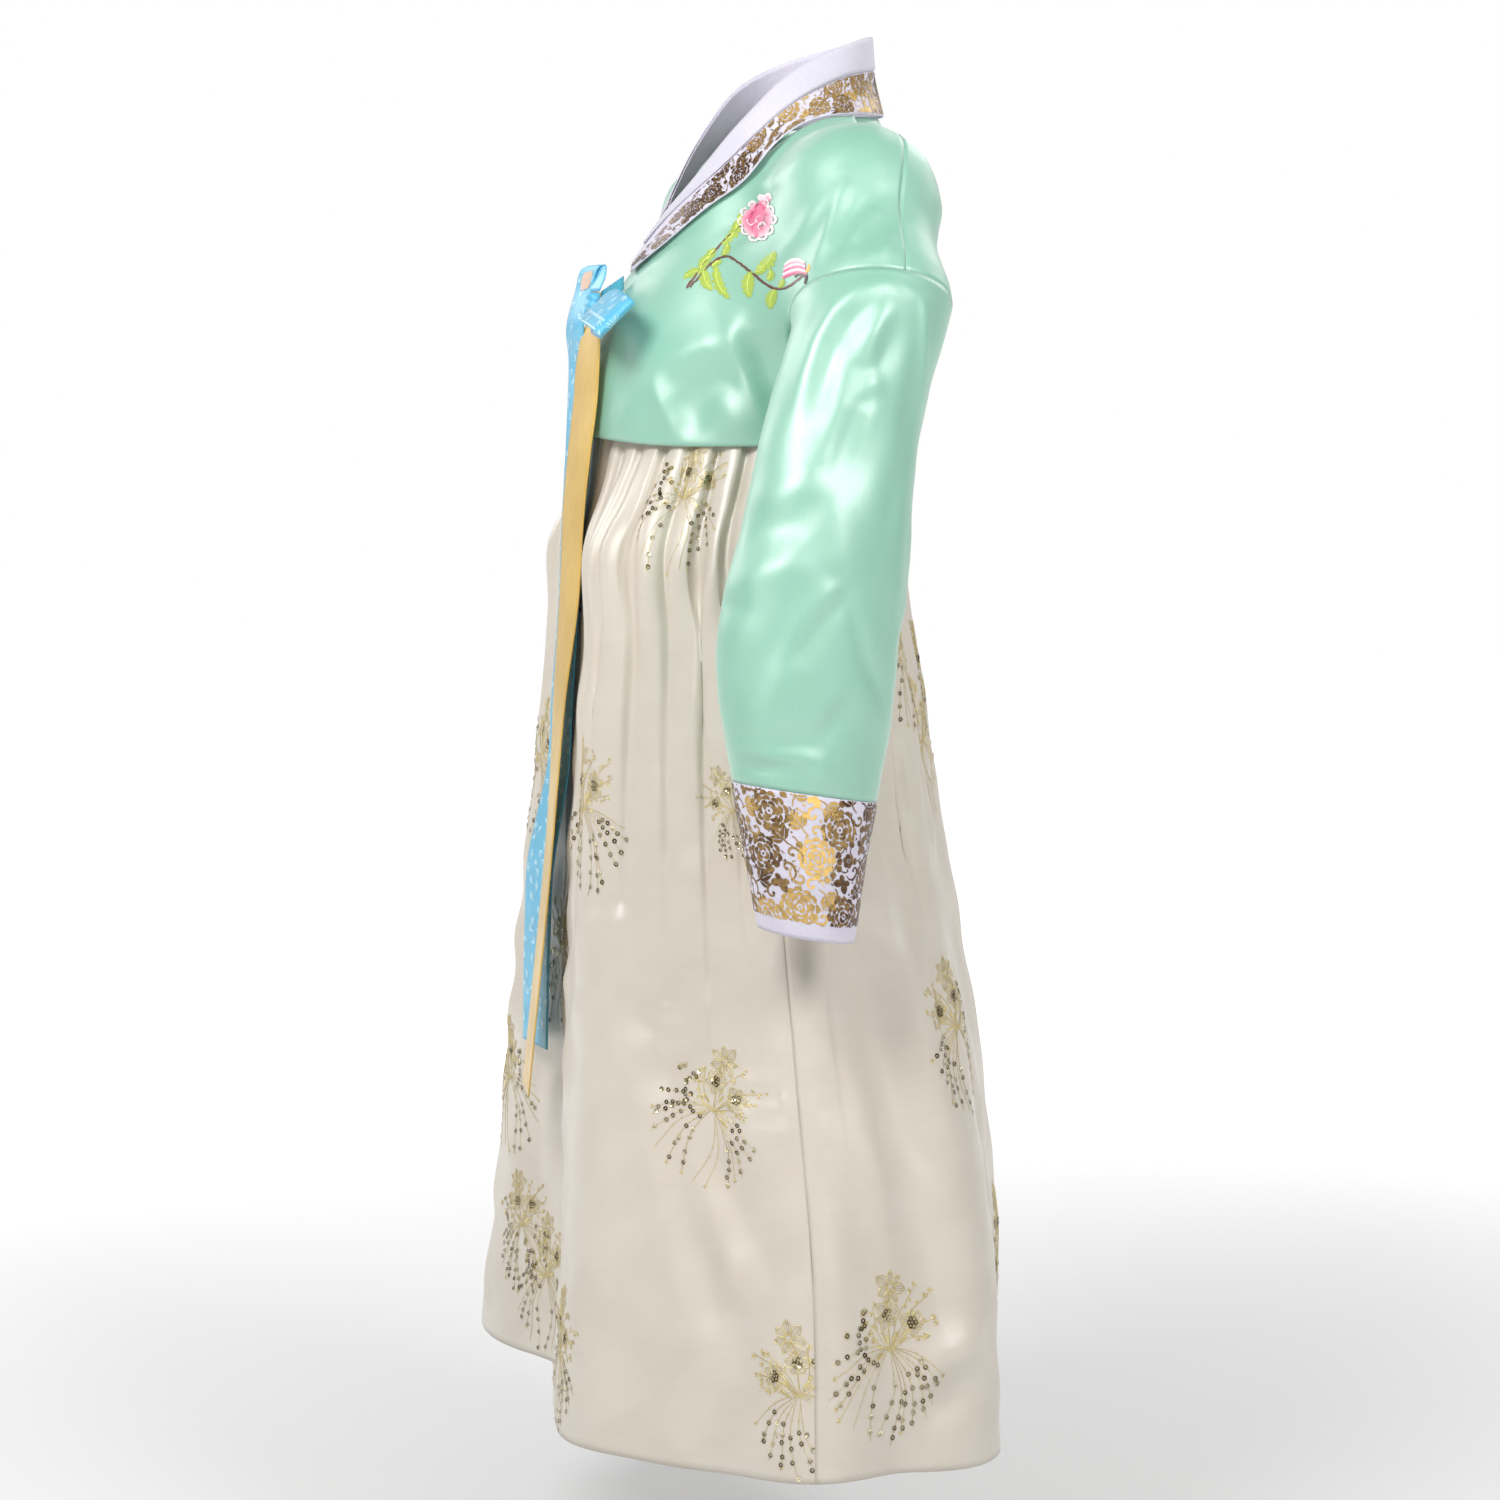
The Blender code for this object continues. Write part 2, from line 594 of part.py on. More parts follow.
def arm(side, sections, cuff_from, names):
    """A sleeve and its cuff, which share one smooth tube and part at a seam."""
    rings, at = arm_rings(sections, side)
    sleeve = arm_part(rings, at, 0, cuff_from + 1, 13)
    cuff = arm_part(rings, at, cuff_from + 1, len(rings) - 1, 5)
    whole = np.concatenate([sleeve, cuff[1:]])
    outwards = grid_outwards(whole, closed=True)
    if (outwards * (whole - whole.mean(1, keepdims=True))).sum() < 0:
        outwards = -outwards
    share = eased(np.arange(len(whole)), 3, 0)[:, None, None]
    outwards = unit(outwards * (1 - share) + share * unit(form_outwards(whole)))
    sleeve_out, cuff_out = outwards[: len(sleeve)], outwards[len(sleeve) - 1 :]
    sleeve = drawn_in(sleeve, last_row=True)
    sleeve[0] = edge_drawn(sleeve[0], sleeve[1], ARMHOLE_SEAM if side > 0 else BENT_ARM_SEAM)
    cuff = drawn_in(cuff, first_row=True)
    satin = material("mint_satin", MINT, 0.35)
    print_cloth = material("printed_cloth", WHITE, 0.45)
    wall(names[0], sleeve + SLEEVE_CLOTH * sleeve_out, sleeve, satin, closed=True)
    wall(names[1], cuff + CUFF_CLOTH * cuff_out, cuff, print_cloth, closed=True)


def sleeves():
    arm(1, LEFT_ARM, LEFT_CUFF_FROM, ("sleeve_left", "cuff_left"))
    arm(-1, RIGHT_ARM, RIGHT_CUFF_FROM, ("sleeve_right", "cuff_right"))


def ribbon(name, table, finish, on_edge=False):
    """A flat ribbon down a table of places, with one soft crease along its middle."""
    table = np.array(table)
    at = np.concatenate([[0], np.cumsum(np.linalg.norm(np.diff(table[:, :3], axis=0), axis=1))])
    rows = np.sort(np.concatenate([at, (at[:-1] + at[1:]) / 2]))
    even = smooth_through(at, table, rows)
    middle, half_width, turn, crease = even[:, :3], even[:, 3], np.radians(even[:, 4]), even[:, 5]
    across = np.stack([np.cos(turn), np.sin(turn), 0 * turn], axis=-1)
    if on_edge:
        across = np.zeros_like(across) + (0.0, 0.0, 1.0)
    facing = unit(np.cross(across, unit(np.gradient(middle, axis=0))))
    places = np.array((-1.0, 0.0, 1.0))
    sunk = (1 - np.abs(places)) * -crease[:, None]
    grid = middle[:, None] + (places * half_width[:, None])[..., None] * across[:, None]
    grid = grid + sunk[..., None] * facing[:, None]
    half_cloth = RIBBON_CLOTH / 2 * facing[:, None]
    wall(name, grid + half_cloth, grid - half_cloth, finish)


def bow_loop(finish):
    """One ribbon out from the knot, round and back, with its width leaning forward."""
    way_out = np.array(LOOP)
    along = np.concatenate([way_out[:, 0], way_out[-2::-1, 0]])
    side = np.concatenate([way_out[:, 1], -way_out[-2::-1, 1]])
    lean = math.radians(LOOP_LEAN_DEG)
    opening = np.array((0.0, math.cos(lean), -math.sin(lean)))
    across = np.array((0.0, -math.sin(lean), -math.cos(lean)))
    path = np.array(KNOT_MIDDLE) + along[:, None] * LOOP_WAY + side[:, None] * opening
    widths = LOOP_HALF_WIDTH * np.clip(0.30 + along / 0.06, 0, 1)
    grid = path[:, None] + (np.linspace(-1, 1, 4) * widths[:, None])[..., None] * across
    outwards = grid_outwards(grid, closed=False)
    half_cloth = RIBBON_CLOTH / 2 * outwards
    wall("goreum_loop", grid + half_cloth, grid - half_cloth, finish)


def knot(finish):
    bpy.ops.mesh.primitive_uv_sphere_add(segments=16, ring_count=8, radius=1.0, location=KNOT_MIDDLE)
    made = bpy.context.object
    made.name = made.data.name = "goreum_knot"
    made.scale = KNOT_SIZE
    bpy.ops.object.transform_apply(location=False, rotation=False, scale=True)
    bpy.ops.object.shade_smooth()
    made.data.materials.append(finish)


def tie():
    blue, gold = material("blue_brocade", BLUE, 0.5), material("gold_satin", GOLD, 0.35)
    ribbon("goreum_gold_tail", GOLD_TAIL, gold)
    ribbon("goreum_gold_root", GOLD_ROOT, gold, on_edge=True)
    ribbon("goreum_blue_tail", BLUE_TAIL, blue)
    ribbon("goreum_blue_root", BLUE_ROOT, blue, on_edge=True)
    bow_loop(blue)
    knot(blue)


def pleat_depths(count, height):
    """Each pleat's depth as a share, uneven from one to the next and deepest at the top."""
    number = np.arange(count)
    uneven = 0.78 + 0.22 * np.sin(2.4 * number + 0.7)
    reach = 0.80 + 0.20 * np.sin(1.7 * number)
    fade = eased(-height, 1.15 * reach, 0.30)
    return uneven * (0.35 + 0.65 * fade)


def skirt_angles(start, end):
    """Angles of the skirt's columns, with each pleat's own points between start and end."""
    step = 360.0 / PLEATS
    count = round((end - start) / step)
    places = [start + (pleat + at) * step for pleat in range(count) for at, _ in PLEAT_PROFILE]
    return np.array([*places, end])


def large_folds(angles):
    height = np.zeros_like(angles)
    for middle, half_width, rise in SKIRT_FOLDS:
        off = (angles - middle + 180.0) % 360.0 - 180.0
        height += rise * np.exp(-((off / half_width) ** 2))
    return height


def skirt_surface(angles, heights):
    """Outer points of the skirt: a row for each height, a column for each angle."""
    table = np.array(SKIRT)
    sizes = smooth_through(table[:, 0][::-1], table[::-1, 1:], heights)
    half_width, half_depth, middle, pleat, folds = sizes.T[..., None]
    turn = np.radians(angles)[None, :]
    outward = unit(np.stack([np.sin(turn) / half_width, -np.cos(turn) / half_depth], axis=-1))
    step = 360.0 / PLEATS
    first = SKIRT_SEAM_DEG % step
    place = (angles - first) / step
    number = np.floor(place + 1e-6).astype(int) % PLEATS
    at, deep = np.array([*PLEAT_PROFILE, (1.0, 1.0)]).T
    profile = np.interp(place - np.floor(place + 1e-6), at, deep)
    uneven = np.array([pleat_depths(PLEATS, height)[number] for height in heights])
    out = folds * large_folds(angles) - pleat * profile * uneven
    x = half_width * np.sin(turn) + out * outward[..., 0]
    y = middle - half_depth * np.cos(turn) + out * outward[..., 1]
    wave = HEM_WAVE * np.sin(np.radians(angles * 5 + 40)) * eased(heights, -0.9, -1.13)[:, None]
    return np.stack([x, y, heights[:, None] + wave], axis=-1)


SKIRT_HEIGHTS = np.array(
    (-0.190, -0.250, -0.293, -0.330, -0.380, -0.450, -0.540, -0.660, -0.810, -0.970, -1.130)
)


def skirt_panel(name, start, end):
    outer = skirt_surface(skirt_angles(start, end), SKIRT_HEIGHTS)
    outer = drawn_in(outer, first_column=True, last_column=True)
    around = skirt_surface(skirt_angles(start - 10, end + 10), SKIRT_HEIGHTS)
    outwards = grid_outwards(around, closed=False)
    spare = len(PLEAT_PROFILE)
    outwards = outwards[:, spare:-spare]
    if (outwards * (outer - (0, -0.05, 0)))[..., :2].sum() < 0:
        outwards = -outwards
    wall(name, outer, outer - SKIRT_CLOTH * outwards, material("ivory_satin", IVORY, 0.4))


def skirt():
    skirt_panel("chima_front", -SKIRT_SEAM_DEG, SKIRT_SEAM_DEG)
    skirt_panel("chima_back", SKIRT_SEAM_DEG, 360.0 - SKIRT_SEAM_DEG)


def chest_band():
    table = np.array(BAND)
    heights = np.linspace(table[0, 0], table[-1, 0], 3)
    half_width, half_depth, middle = smooth_through(table[:, 0], table[:, 1:], heights).T[..., None]
    turn = np.radians(np.linspace(0, 360, 36, endpoint=False))[None, :]
    level = heights[:, None] + 0 * turn

    def ring(inset):
        x = (half_width - inset) * np.sin(turn)
        y = middle - (half_depth - inset) * np.cos(turn)
        return np.stack([x, y, level], axis=-1)

    wall("chima_band", ring(0.0), ring(BAND_CLOTH), material("band_cloth", IVORY, 0.6), closed=True)


def clear_scene():
    for old in list(bpy.data.objects):
        bpy.data.objects.remove(old)


def main():
    clear_scene()
    jacket_fronts()
    jacket_back()
    collars()
    sleeves()
    tie()
    skirt()
    chest_band()


main()
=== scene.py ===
"""Korean hanbok worn by a standing figure that is left out: mint jacket, tied ribbons, ivory skirt.

The origin is the middle of the neck's base, +Z is up and the wearer faces -Y. Each cloth of the
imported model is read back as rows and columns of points, made finer, creased and given back as a thin
shell. Prints, embroidery and sequins are laid out flat in metres and carried onto those rows and columns.
"""
import math
from itertools import combinations

import bmesh
import bpy
import numpy as np
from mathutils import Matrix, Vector
from mathutils.bvhtree import BVHTree


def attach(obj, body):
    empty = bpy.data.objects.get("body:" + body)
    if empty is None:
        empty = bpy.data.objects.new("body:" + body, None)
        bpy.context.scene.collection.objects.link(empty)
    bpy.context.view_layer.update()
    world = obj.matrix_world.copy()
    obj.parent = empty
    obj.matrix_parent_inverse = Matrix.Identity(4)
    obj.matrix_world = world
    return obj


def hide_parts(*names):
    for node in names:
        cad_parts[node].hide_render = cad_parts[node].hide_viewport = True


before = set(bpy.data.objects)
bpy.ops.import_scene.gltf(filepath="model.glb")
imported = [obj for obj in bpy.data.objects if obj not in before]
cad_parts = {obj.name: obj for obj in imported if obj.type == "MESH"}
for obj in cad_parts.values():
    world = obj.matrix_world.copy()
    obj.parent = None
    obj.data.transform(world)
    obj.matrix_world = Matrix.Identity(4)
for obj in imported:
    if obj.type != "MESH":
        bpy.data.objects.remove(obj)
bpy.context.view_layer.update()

MM = 0.001
BODY = "root"

# The photograph's camera: the place that fits its outlines, and the frame of its pixels
CAMERA_PLACE = Vector((2.658, -1.004, -0.270))
CAMERA_AZIMUTH_DEG, CAMERA_FALL_DEG = 70.0, 6.0
PHOTO_SIZE, PHOTO_FOCAL = 1500.0, 3141.0
SENSOR_WIDTH = 36.0
FLOOR_HEIGHT = -1.36

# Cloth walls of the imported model: node, wall thickness, rows, closed round
# a tube, finer rows, finer columns
WALLS = (
    ("jeogori_back", 1.5, 17, False, 64, 128),
    ("jeogori_front_left", 1.5, 17, False, 96, 84),
    ("jeogori_front_right", 1.5, 17, False, 72, 60),
    ("sleeve_left", 1.5, 13, True, 120, 96),
    ("sleeve_right", 1.5, 13, True, 96, 88),
    ("cuff_left", 1.8, 5, True, 36, 96),
    ("cuff_right", 1.8, 5, True, 36, 96),
    ("git_collar", 2.2, 5, False, 17, 200),
    ("dongjeong_collar", 1.2, 3, False, 9, 200),
    ("chima_front", 1.5, 11, False, 146, 220),
    ("chima_back", 1.5, 11, False, 146, 268),
)
# How far a rung across a wall may be off its thickness, and how near two points are one
RUNG_SLACK = 0.02 * MM
WELD = 0.02 * MM
# The thickness of a shown cloth, and how far the body's axis is behind the origin
SHELL = 0.9 * MM
BODY_AXIS_Y = 0.02
# How many of a border's sharpest turns are tried as the corners of its sheet
CORNERS_TRIED = 14
# A place is read this far short of the end of the rows and columns
GRID_END = 1.001


def unit(vectors):
    return vectors / np.maximum(np.linalg.norm(vectors, axis=-1, keepdims=True), 1e-12)


def eased(x, start, end):
    """0 at start, 1 at end, and smooth between."""
    t = np.clip((x - start) / (end - start), 0.0, 1.0)
    return t * t * (3 - 2 * t)


def deselect_all():
    for item in bpy.context.selected_objects:
        item.select_set(False)


def through(knots, values, at):
    """A smooth curve through the rows of values, read at the given places."""
    slopes = np.gradient(values, knots, axis=0)
    left = np.clip(np.searchsorted(knots, at, side="right") - 1, 0, len(knots) - 2)
    step = (knots[left + 1] - knots[left]).reshape(-1, *[1] * (values.ndim - 1))
    t = (at - knots[left]).reshape(step.shape) / step
    rise = t * t * (3 - 2 * t)
    bend = slopes[left] * t * (1 - t) ** 2 * step + slopes[left + 1] * t * t * (t - 1) * step
    return values[left] * (1 - rise) + values[left + 1] * rise + bend


# Reading a wall back as rows and columns


def outer_sheet(node, thickness):
    """The outer side of a wall, without its rim: points, triangles and where they face."""
    wall = bmesh.new()
    wall.from_mesh(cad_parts[node].data)
    bmesh.ops.remove_doubles(wall, verts=wall.verts, dist=WELD)
    rungs = [e for e in wall.edges if abs(e.calc_length() - thickness) < RUNG_SLACK]
    rim = {face for edge in rungs for face in edge.link_faces}
    left = set(wall.faces) - rim
    sheets = []
    while left:
        seed = left.pop()
        sheet, todo = [seed], [seed]
        while todo:
            for edge in todo.pop().edges:
                for face in edge.link_faces:
                    if face in left:
                        left.remove(face)
                        sheet.append(face)
                        todo.append(face)
        sheets.append(sheet)
    sheets = sorted(sheets, key=len)[-2:]

    def size(sheet):
        """The volume under the sheet about the wall's middle, which is larger outside."""
        return sum(f.calc_area() * f.normal.dot(f.calc_center_median() - middle) for f in sheet)

    middle = sum((v.co for v in wall.verts), Vector()) / len(wall.verts)
    if not node.startswith(("sleeve", "cuff")):
        middle = Vector((0.0, BODY_AXIS_Y, middle.z))
    wall.faces.index_update()
    sheet = max((sorted(sheet, key=lambda face: face.index) for sheet in sheets), key=size)
    points, number = [], {}
    for face in sheet:
        for vert in face.verts:
            if vert not in number:
                number[vert] = len(points)
                points.append(tuple(vert.co))
    triangles = [tuple(number[v] for v in face.verts) for face in sheet]
    wall.free()
    return np.array(points), triangles


def neighbours(triangles, count):
    """The points that share a triangle's side with each point."""
    links = [set() for _ in range(count)]
    for a, b, c in triangles:
        links[a] |= {b, c}
        links[b] |= {a, c}
        links[c] |= {a, b}
    return links


def border_loops(triangles):
    """Each border as a loop of points, in the direction of its triangles."""
    sides = {(t[i], t[(i + 1) % 3]) for t in triangles for i in range(3)}
    after = {a: b for a, b in sides if (b, a) not in sides}
    loops = []
    while after:
        start = next(iter(after))
        loop = [start]
        here = after.pop(start)
        while here != start:
            loop.append(here)
            here = after.pop(here)
        loops.append(loop)
    return loops


def steps_from(start, links):
    """How many triangle sides each point is from the nearest start point."""
    steps = np.full(len(links), -1)
    steps[list(start)] = 0
    edge = set(start)
    count = 0
    while edge:
        count += 1
        edge = {n for point in edge for n in links[point] if steps[n] < 0}
        steps[list(edge)] = count
    return steps


def open_grid(points, triangles, rows):
    """Rows and columns of an open sheet, found from the border corners that give a whole grid."""
    links = neighbours(triangles, len(points))
    loop = border_loops(triangles)[0]
    columns = len(points) // rows
    ring = points[loop]
    ways = unit(np.roll(ring, -1, axis=0) - ring)
    turning = 1 - (ways * np.roll(ways, 1, axis=0)).sum(-1)
    sharpest = sorted(np.argsort(turning)[-CORNERS_TRIED:])
    best = None
    for corners in combinations(sharpest, 4):
        sides = np.diff([*corners, corners[0] + len(loop)]) + 1
        if sorted(sides[:2]) != sorted((rows, columns)) or tuple(sides[:2]) != tuple(sides[2:]):
            continue
        if best is None or turning[list(corners)].sum() > best[0]:
            best = (turning[list(corners)].sum(), corners, sides)
    if best is None:
        raise ValueError(f"no grid of {rows} rows in {len(points)} points")
    _, corners, sides = best
    if sides[0] == rows:
        corners = corners[1:] + corners[:1]
    loop = loop + loop
    top = loop[corners[0] : corners[0] + columns]
    down = steps_from(top, links)
    side_start = corners[0] + columns - 1
    right = loop[side_start : side_start + rows]
    across = columns - 1 - steps_from(right, links)
    grid = np.full((rows, columns), -1)
    grid[down, across] = np.arange(len(points))
    if (grid < 0).any():
        raise ValueError("the sheet's rows and columns don't close")
    return points[grid]


def tube_grid(points, triangles, rows):
    """Rings of a tube from its wider opening on: the first starts at its lowest point, and each other
    one beside the one before."""
    links = neighbours(triangles, len(points))
    loops = border_loops(triangles)
    top = max(loops, key=lambda loop: np.linalg.norm(np.diff(points[loop], axis=0), axis=1).sum())
    lowest = int(np.argmin(points[top][:, 2]))
    top = top[lowest:] + top[:lowest]
    steps = steps_from(top, links)
    rings = [points[top]]
    for row in range(1, rows):
        members = set(np.flatnonzero(steps == row))
        here = min(members)
        ring, left = [here], members - {here}
        while left:
            here = min(links[here] & left, key=lambda n: np.linalg.norm(points[n] - points[here]))
            left.remove(here)
            ring.append(here)
        ring = points[ring]
        turns = [np.roll(way, shift, axis=0) for way in (ring, ring[::-1]) for shift in range(len(ring))]
        rings.append(min(turns, key=lambda turn: np.linalg.norm(turn - rings[-1], axis=1).sum()))
    return np.array(rings)


class Cloth:
    """A sheet of cloth as fine rows, from its top down, and columns, from left to right outside."""

    def __init__(self, node, points, closed=False):
        self.node, self.points, self.closed = node, points, closed
        self.measure()

    def measure(self):
        """Which way each point faces, and the lengths along the rows and down the columns."""
        points = self.points
        if self.closed:
            ring = points[:, :-1]
            right = np.roll(ring, -1, axis=1) - np.roll(ring, 1, axis=1)
            right = np.concatenate([right, right[:, :1]], axis=1)
        else:
            right = np.gradient(points, axis=1)
        self.outward = unit(np.cross(np.gradient(points, axis=0), right))
        steps = np.linalg.norm(np.diff(points, axis=1), axis=-1)
        self.along = np.concatenate([np.zeros((len(points), 1)), np.cumsum(steps, axis=1)], axis=1)
        steps = np.linalg.norm(np.diff(points, axis=0), axis=-1).mean(1)
        self.down = np.concatenate([[0], np.cumsum(steps)])
        self.tree = None

    def raise_by(self, heights):
        if self.closed:
            heights[:, -1] = heights[:, 0]
        self.points = self.points + heights[..., None] * self.outward
        self.measure()

    def quads(self):
        """The cells of the rows and columns, four points each."""
        rows, columns = self.points.shape[:2]
        start = np.arange(rows - 1)[:, None] * columns + np.arange(columns - 1)
        return np.stack([start, start + columns, start + columns + 1, start + 1], axis=-1).reshape(-1, 4)

    def seen(self, x, y):
        """Row and column where the photograph shows the pixel on this cloth."""
        if self.tree is None:
            flat = [tuple(p) for p in self.points.reshape(-1, 3)]
            self.tree = BVHTree.FromPolygons(flat, [tuple(q) for q in self.quads().tolist()])
        hit, _, face, _ = self.tree.ray_cast(CAMERA_PLACE, photo_ray(x, y))
        if hit is None:
            hit, _, face, _ = self.tree.find_nearest(nearest_on_ray(x, y, self.points))
        columns = self.points.shape[1] - 1
        row, column = divmod(face, columns)
        corner = self.points[row, column]
        to_right = self.points[row, column + 1] - corner
        to_foot = self.points[row + 1, column] - corner
        off = np.array(hit) - corner
        across = np.clip(off @ to_right / (to_right @ to_right), 0, 1)
        return row + np.clip(off @ to_foot / (to_foot @ to_foot), 0, 1), column + across

    def at(self, rows, columns):
        """Points and outward ways at rows and columns that may lie between whole ones."""
        rows = np.clip(rows, 0, len(self.points) - GRID_END)
        columns = np.clip(columns, 0, self.points.shape[1] - GRID_END)
        r, c = rows.astype(int), columns.astype(int)
        fr, fc = (rows - r)[:, None], (columns - c)[:, None]
        found = []
        for field in (self.points, self.outward):
            upper = field[r, c] * (1 - fc) + field[r, c + 1] * fc
            lower = field[r + 1, c] * (1 - fc) + field[r + 1, c + 1] * fc
            found.append(upper * (1 - fr) + lower * fr)
        return found[0], unit(found[1])

    def over(self, spot, offsets):
        """Rows, columns and what lies on the cloth, for flat offsets across and up from a spot."""
        row, column = spot
        depth = np.interp(row, np.arange(len(self.down)), self.down) - offsets[:, 1]
        inside = (depth >= 0) & (depth <= self.down[-1])
        rows = np.interp(depth, self.down, np.arange(len(self.down)))
        r = np.minimum(rows.astype(int), len(self.down) - 2)
        share = (rows - r)[:, None]
        lengths = self.along[r] * (1 - share) + self.along[r + 1] * share
        c = min(int(column), self.points.shape[1] - 2)
        goal = lengths[:, c] + (column - c) * (lengths[:, c + 1] - lengths[:, c]) + offsets[:, 0]
        if self.closed:
            goal = goal % lengths[:, -1]
        inside &= (goal >= 0) & (goal <= lengths[:, -1])
        before = np.clip((lengths <= goal[:, None]).sum(1) - 1, 0, lengths.shape[1] - 2)
        each = np.arange(len(goal))
        step = np.maximum(lengths[each, before + 1] - lengths[each, before], 1e-9)
        columns = before + np.clip((goal - lengths[each, before]) / step, 0, 1)
        return rows, columns, inside


def packed_cloth(node, thickness, rows, closed, fine_rows, fine_columns):
    """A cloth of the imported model, read back and made finer."""
    points, triangles = outer_sheet(node, thickness * MM)
    grid = (tube_grid if closed else open_grid)(points, triangles, rows)
    if not closed and grid[0, :, 2].mean() < grid[-1, :, 2].mean():
        grid = grid[::-1]
    a, b, c = (points[list(t)] for t in zip(*triangles))
    sheet_way = np.cross(b - a, c - a)
    sheet_middle = (a + b + c) / 3
    way = np.cross(np.gradient(grid, axis=0), np.gradient(grid, axis=1)).reshape(-1, 3)
    nearest = [np.linalg.norm(sheet_middle - p, axis=1).argmin() for p in grid.reshape(-1, 3)]
    if (way * sheet_way[nearest]).sum() < 0:
        grid = grid[:, ::-1]
    spare = 3 if closed else 0
    if closed:
        grid = np.concatenate([grid[:, -spare:], grid, grid[:, : spare + 1]], axis=1)
    lengths = np.linalg.norm(np.diff(grid, axis=1), axis=-1).mean(0)
    knots = np.concatenate([[0], np.cumsum(lengths)])
    at = np.linspace(knots[spare], knots[len(knots) - 1 - spare], fine_columns + int(closed))
    grid = np.swapaxes(through(knots, np.swapaxes(grid, 0, 1), at), 0, 1)
    lengths = np.linalg.norm(np.diff(grid, axis=0), axis=-1).mean(1)
    knots = np.concatenate([[0], np.cumsum(lengths)])
    fine = through(knots, grid, np.linspace(0, knots[-1], fine_rows))
    if closed:
        fine[:, -1] = fine[:, 0]
    return Cloth(node, fine, closed)


def photo_ways():
    """Ahead, right and up of the photograph's camera."""
    turn, fall = math.radians(CAMERA_AZIMUTH_DEG), math.radians(CAMERA_FALL_DEG)
    flat = Vector((-math.sin(turn), math.cos(turn), 0.0))
    ahead = flat * math.cos(fall) - Vector((0, 0, math.sin(fall)))
    right = flat.cross(Vector((0, 0, 1)))
    return ahead, right, right.cross(ahead)


def photo_ray(x, y):
    """The way from the photograph's camera through one of its pixels."""
    ahead, right, up = photo_ways()
    middle = PHOTO_SIZE / 2
    return (ahead + right * (x - middle) / PHOTO_FOCAL - up * (y - middle) / PHOTO_FOCAL).normalized()


def nearest_on_ray(x, y, points):
    """The place on a pixel's ray that is beside the middle of some points."""
    ray = photo_ray(x, y)
    middle = Vector(points.reshape(-1, 3).mean(0))
    return CAMERA_PLACE + ray * (middle - CAMERA_PLACE).dot(ray)


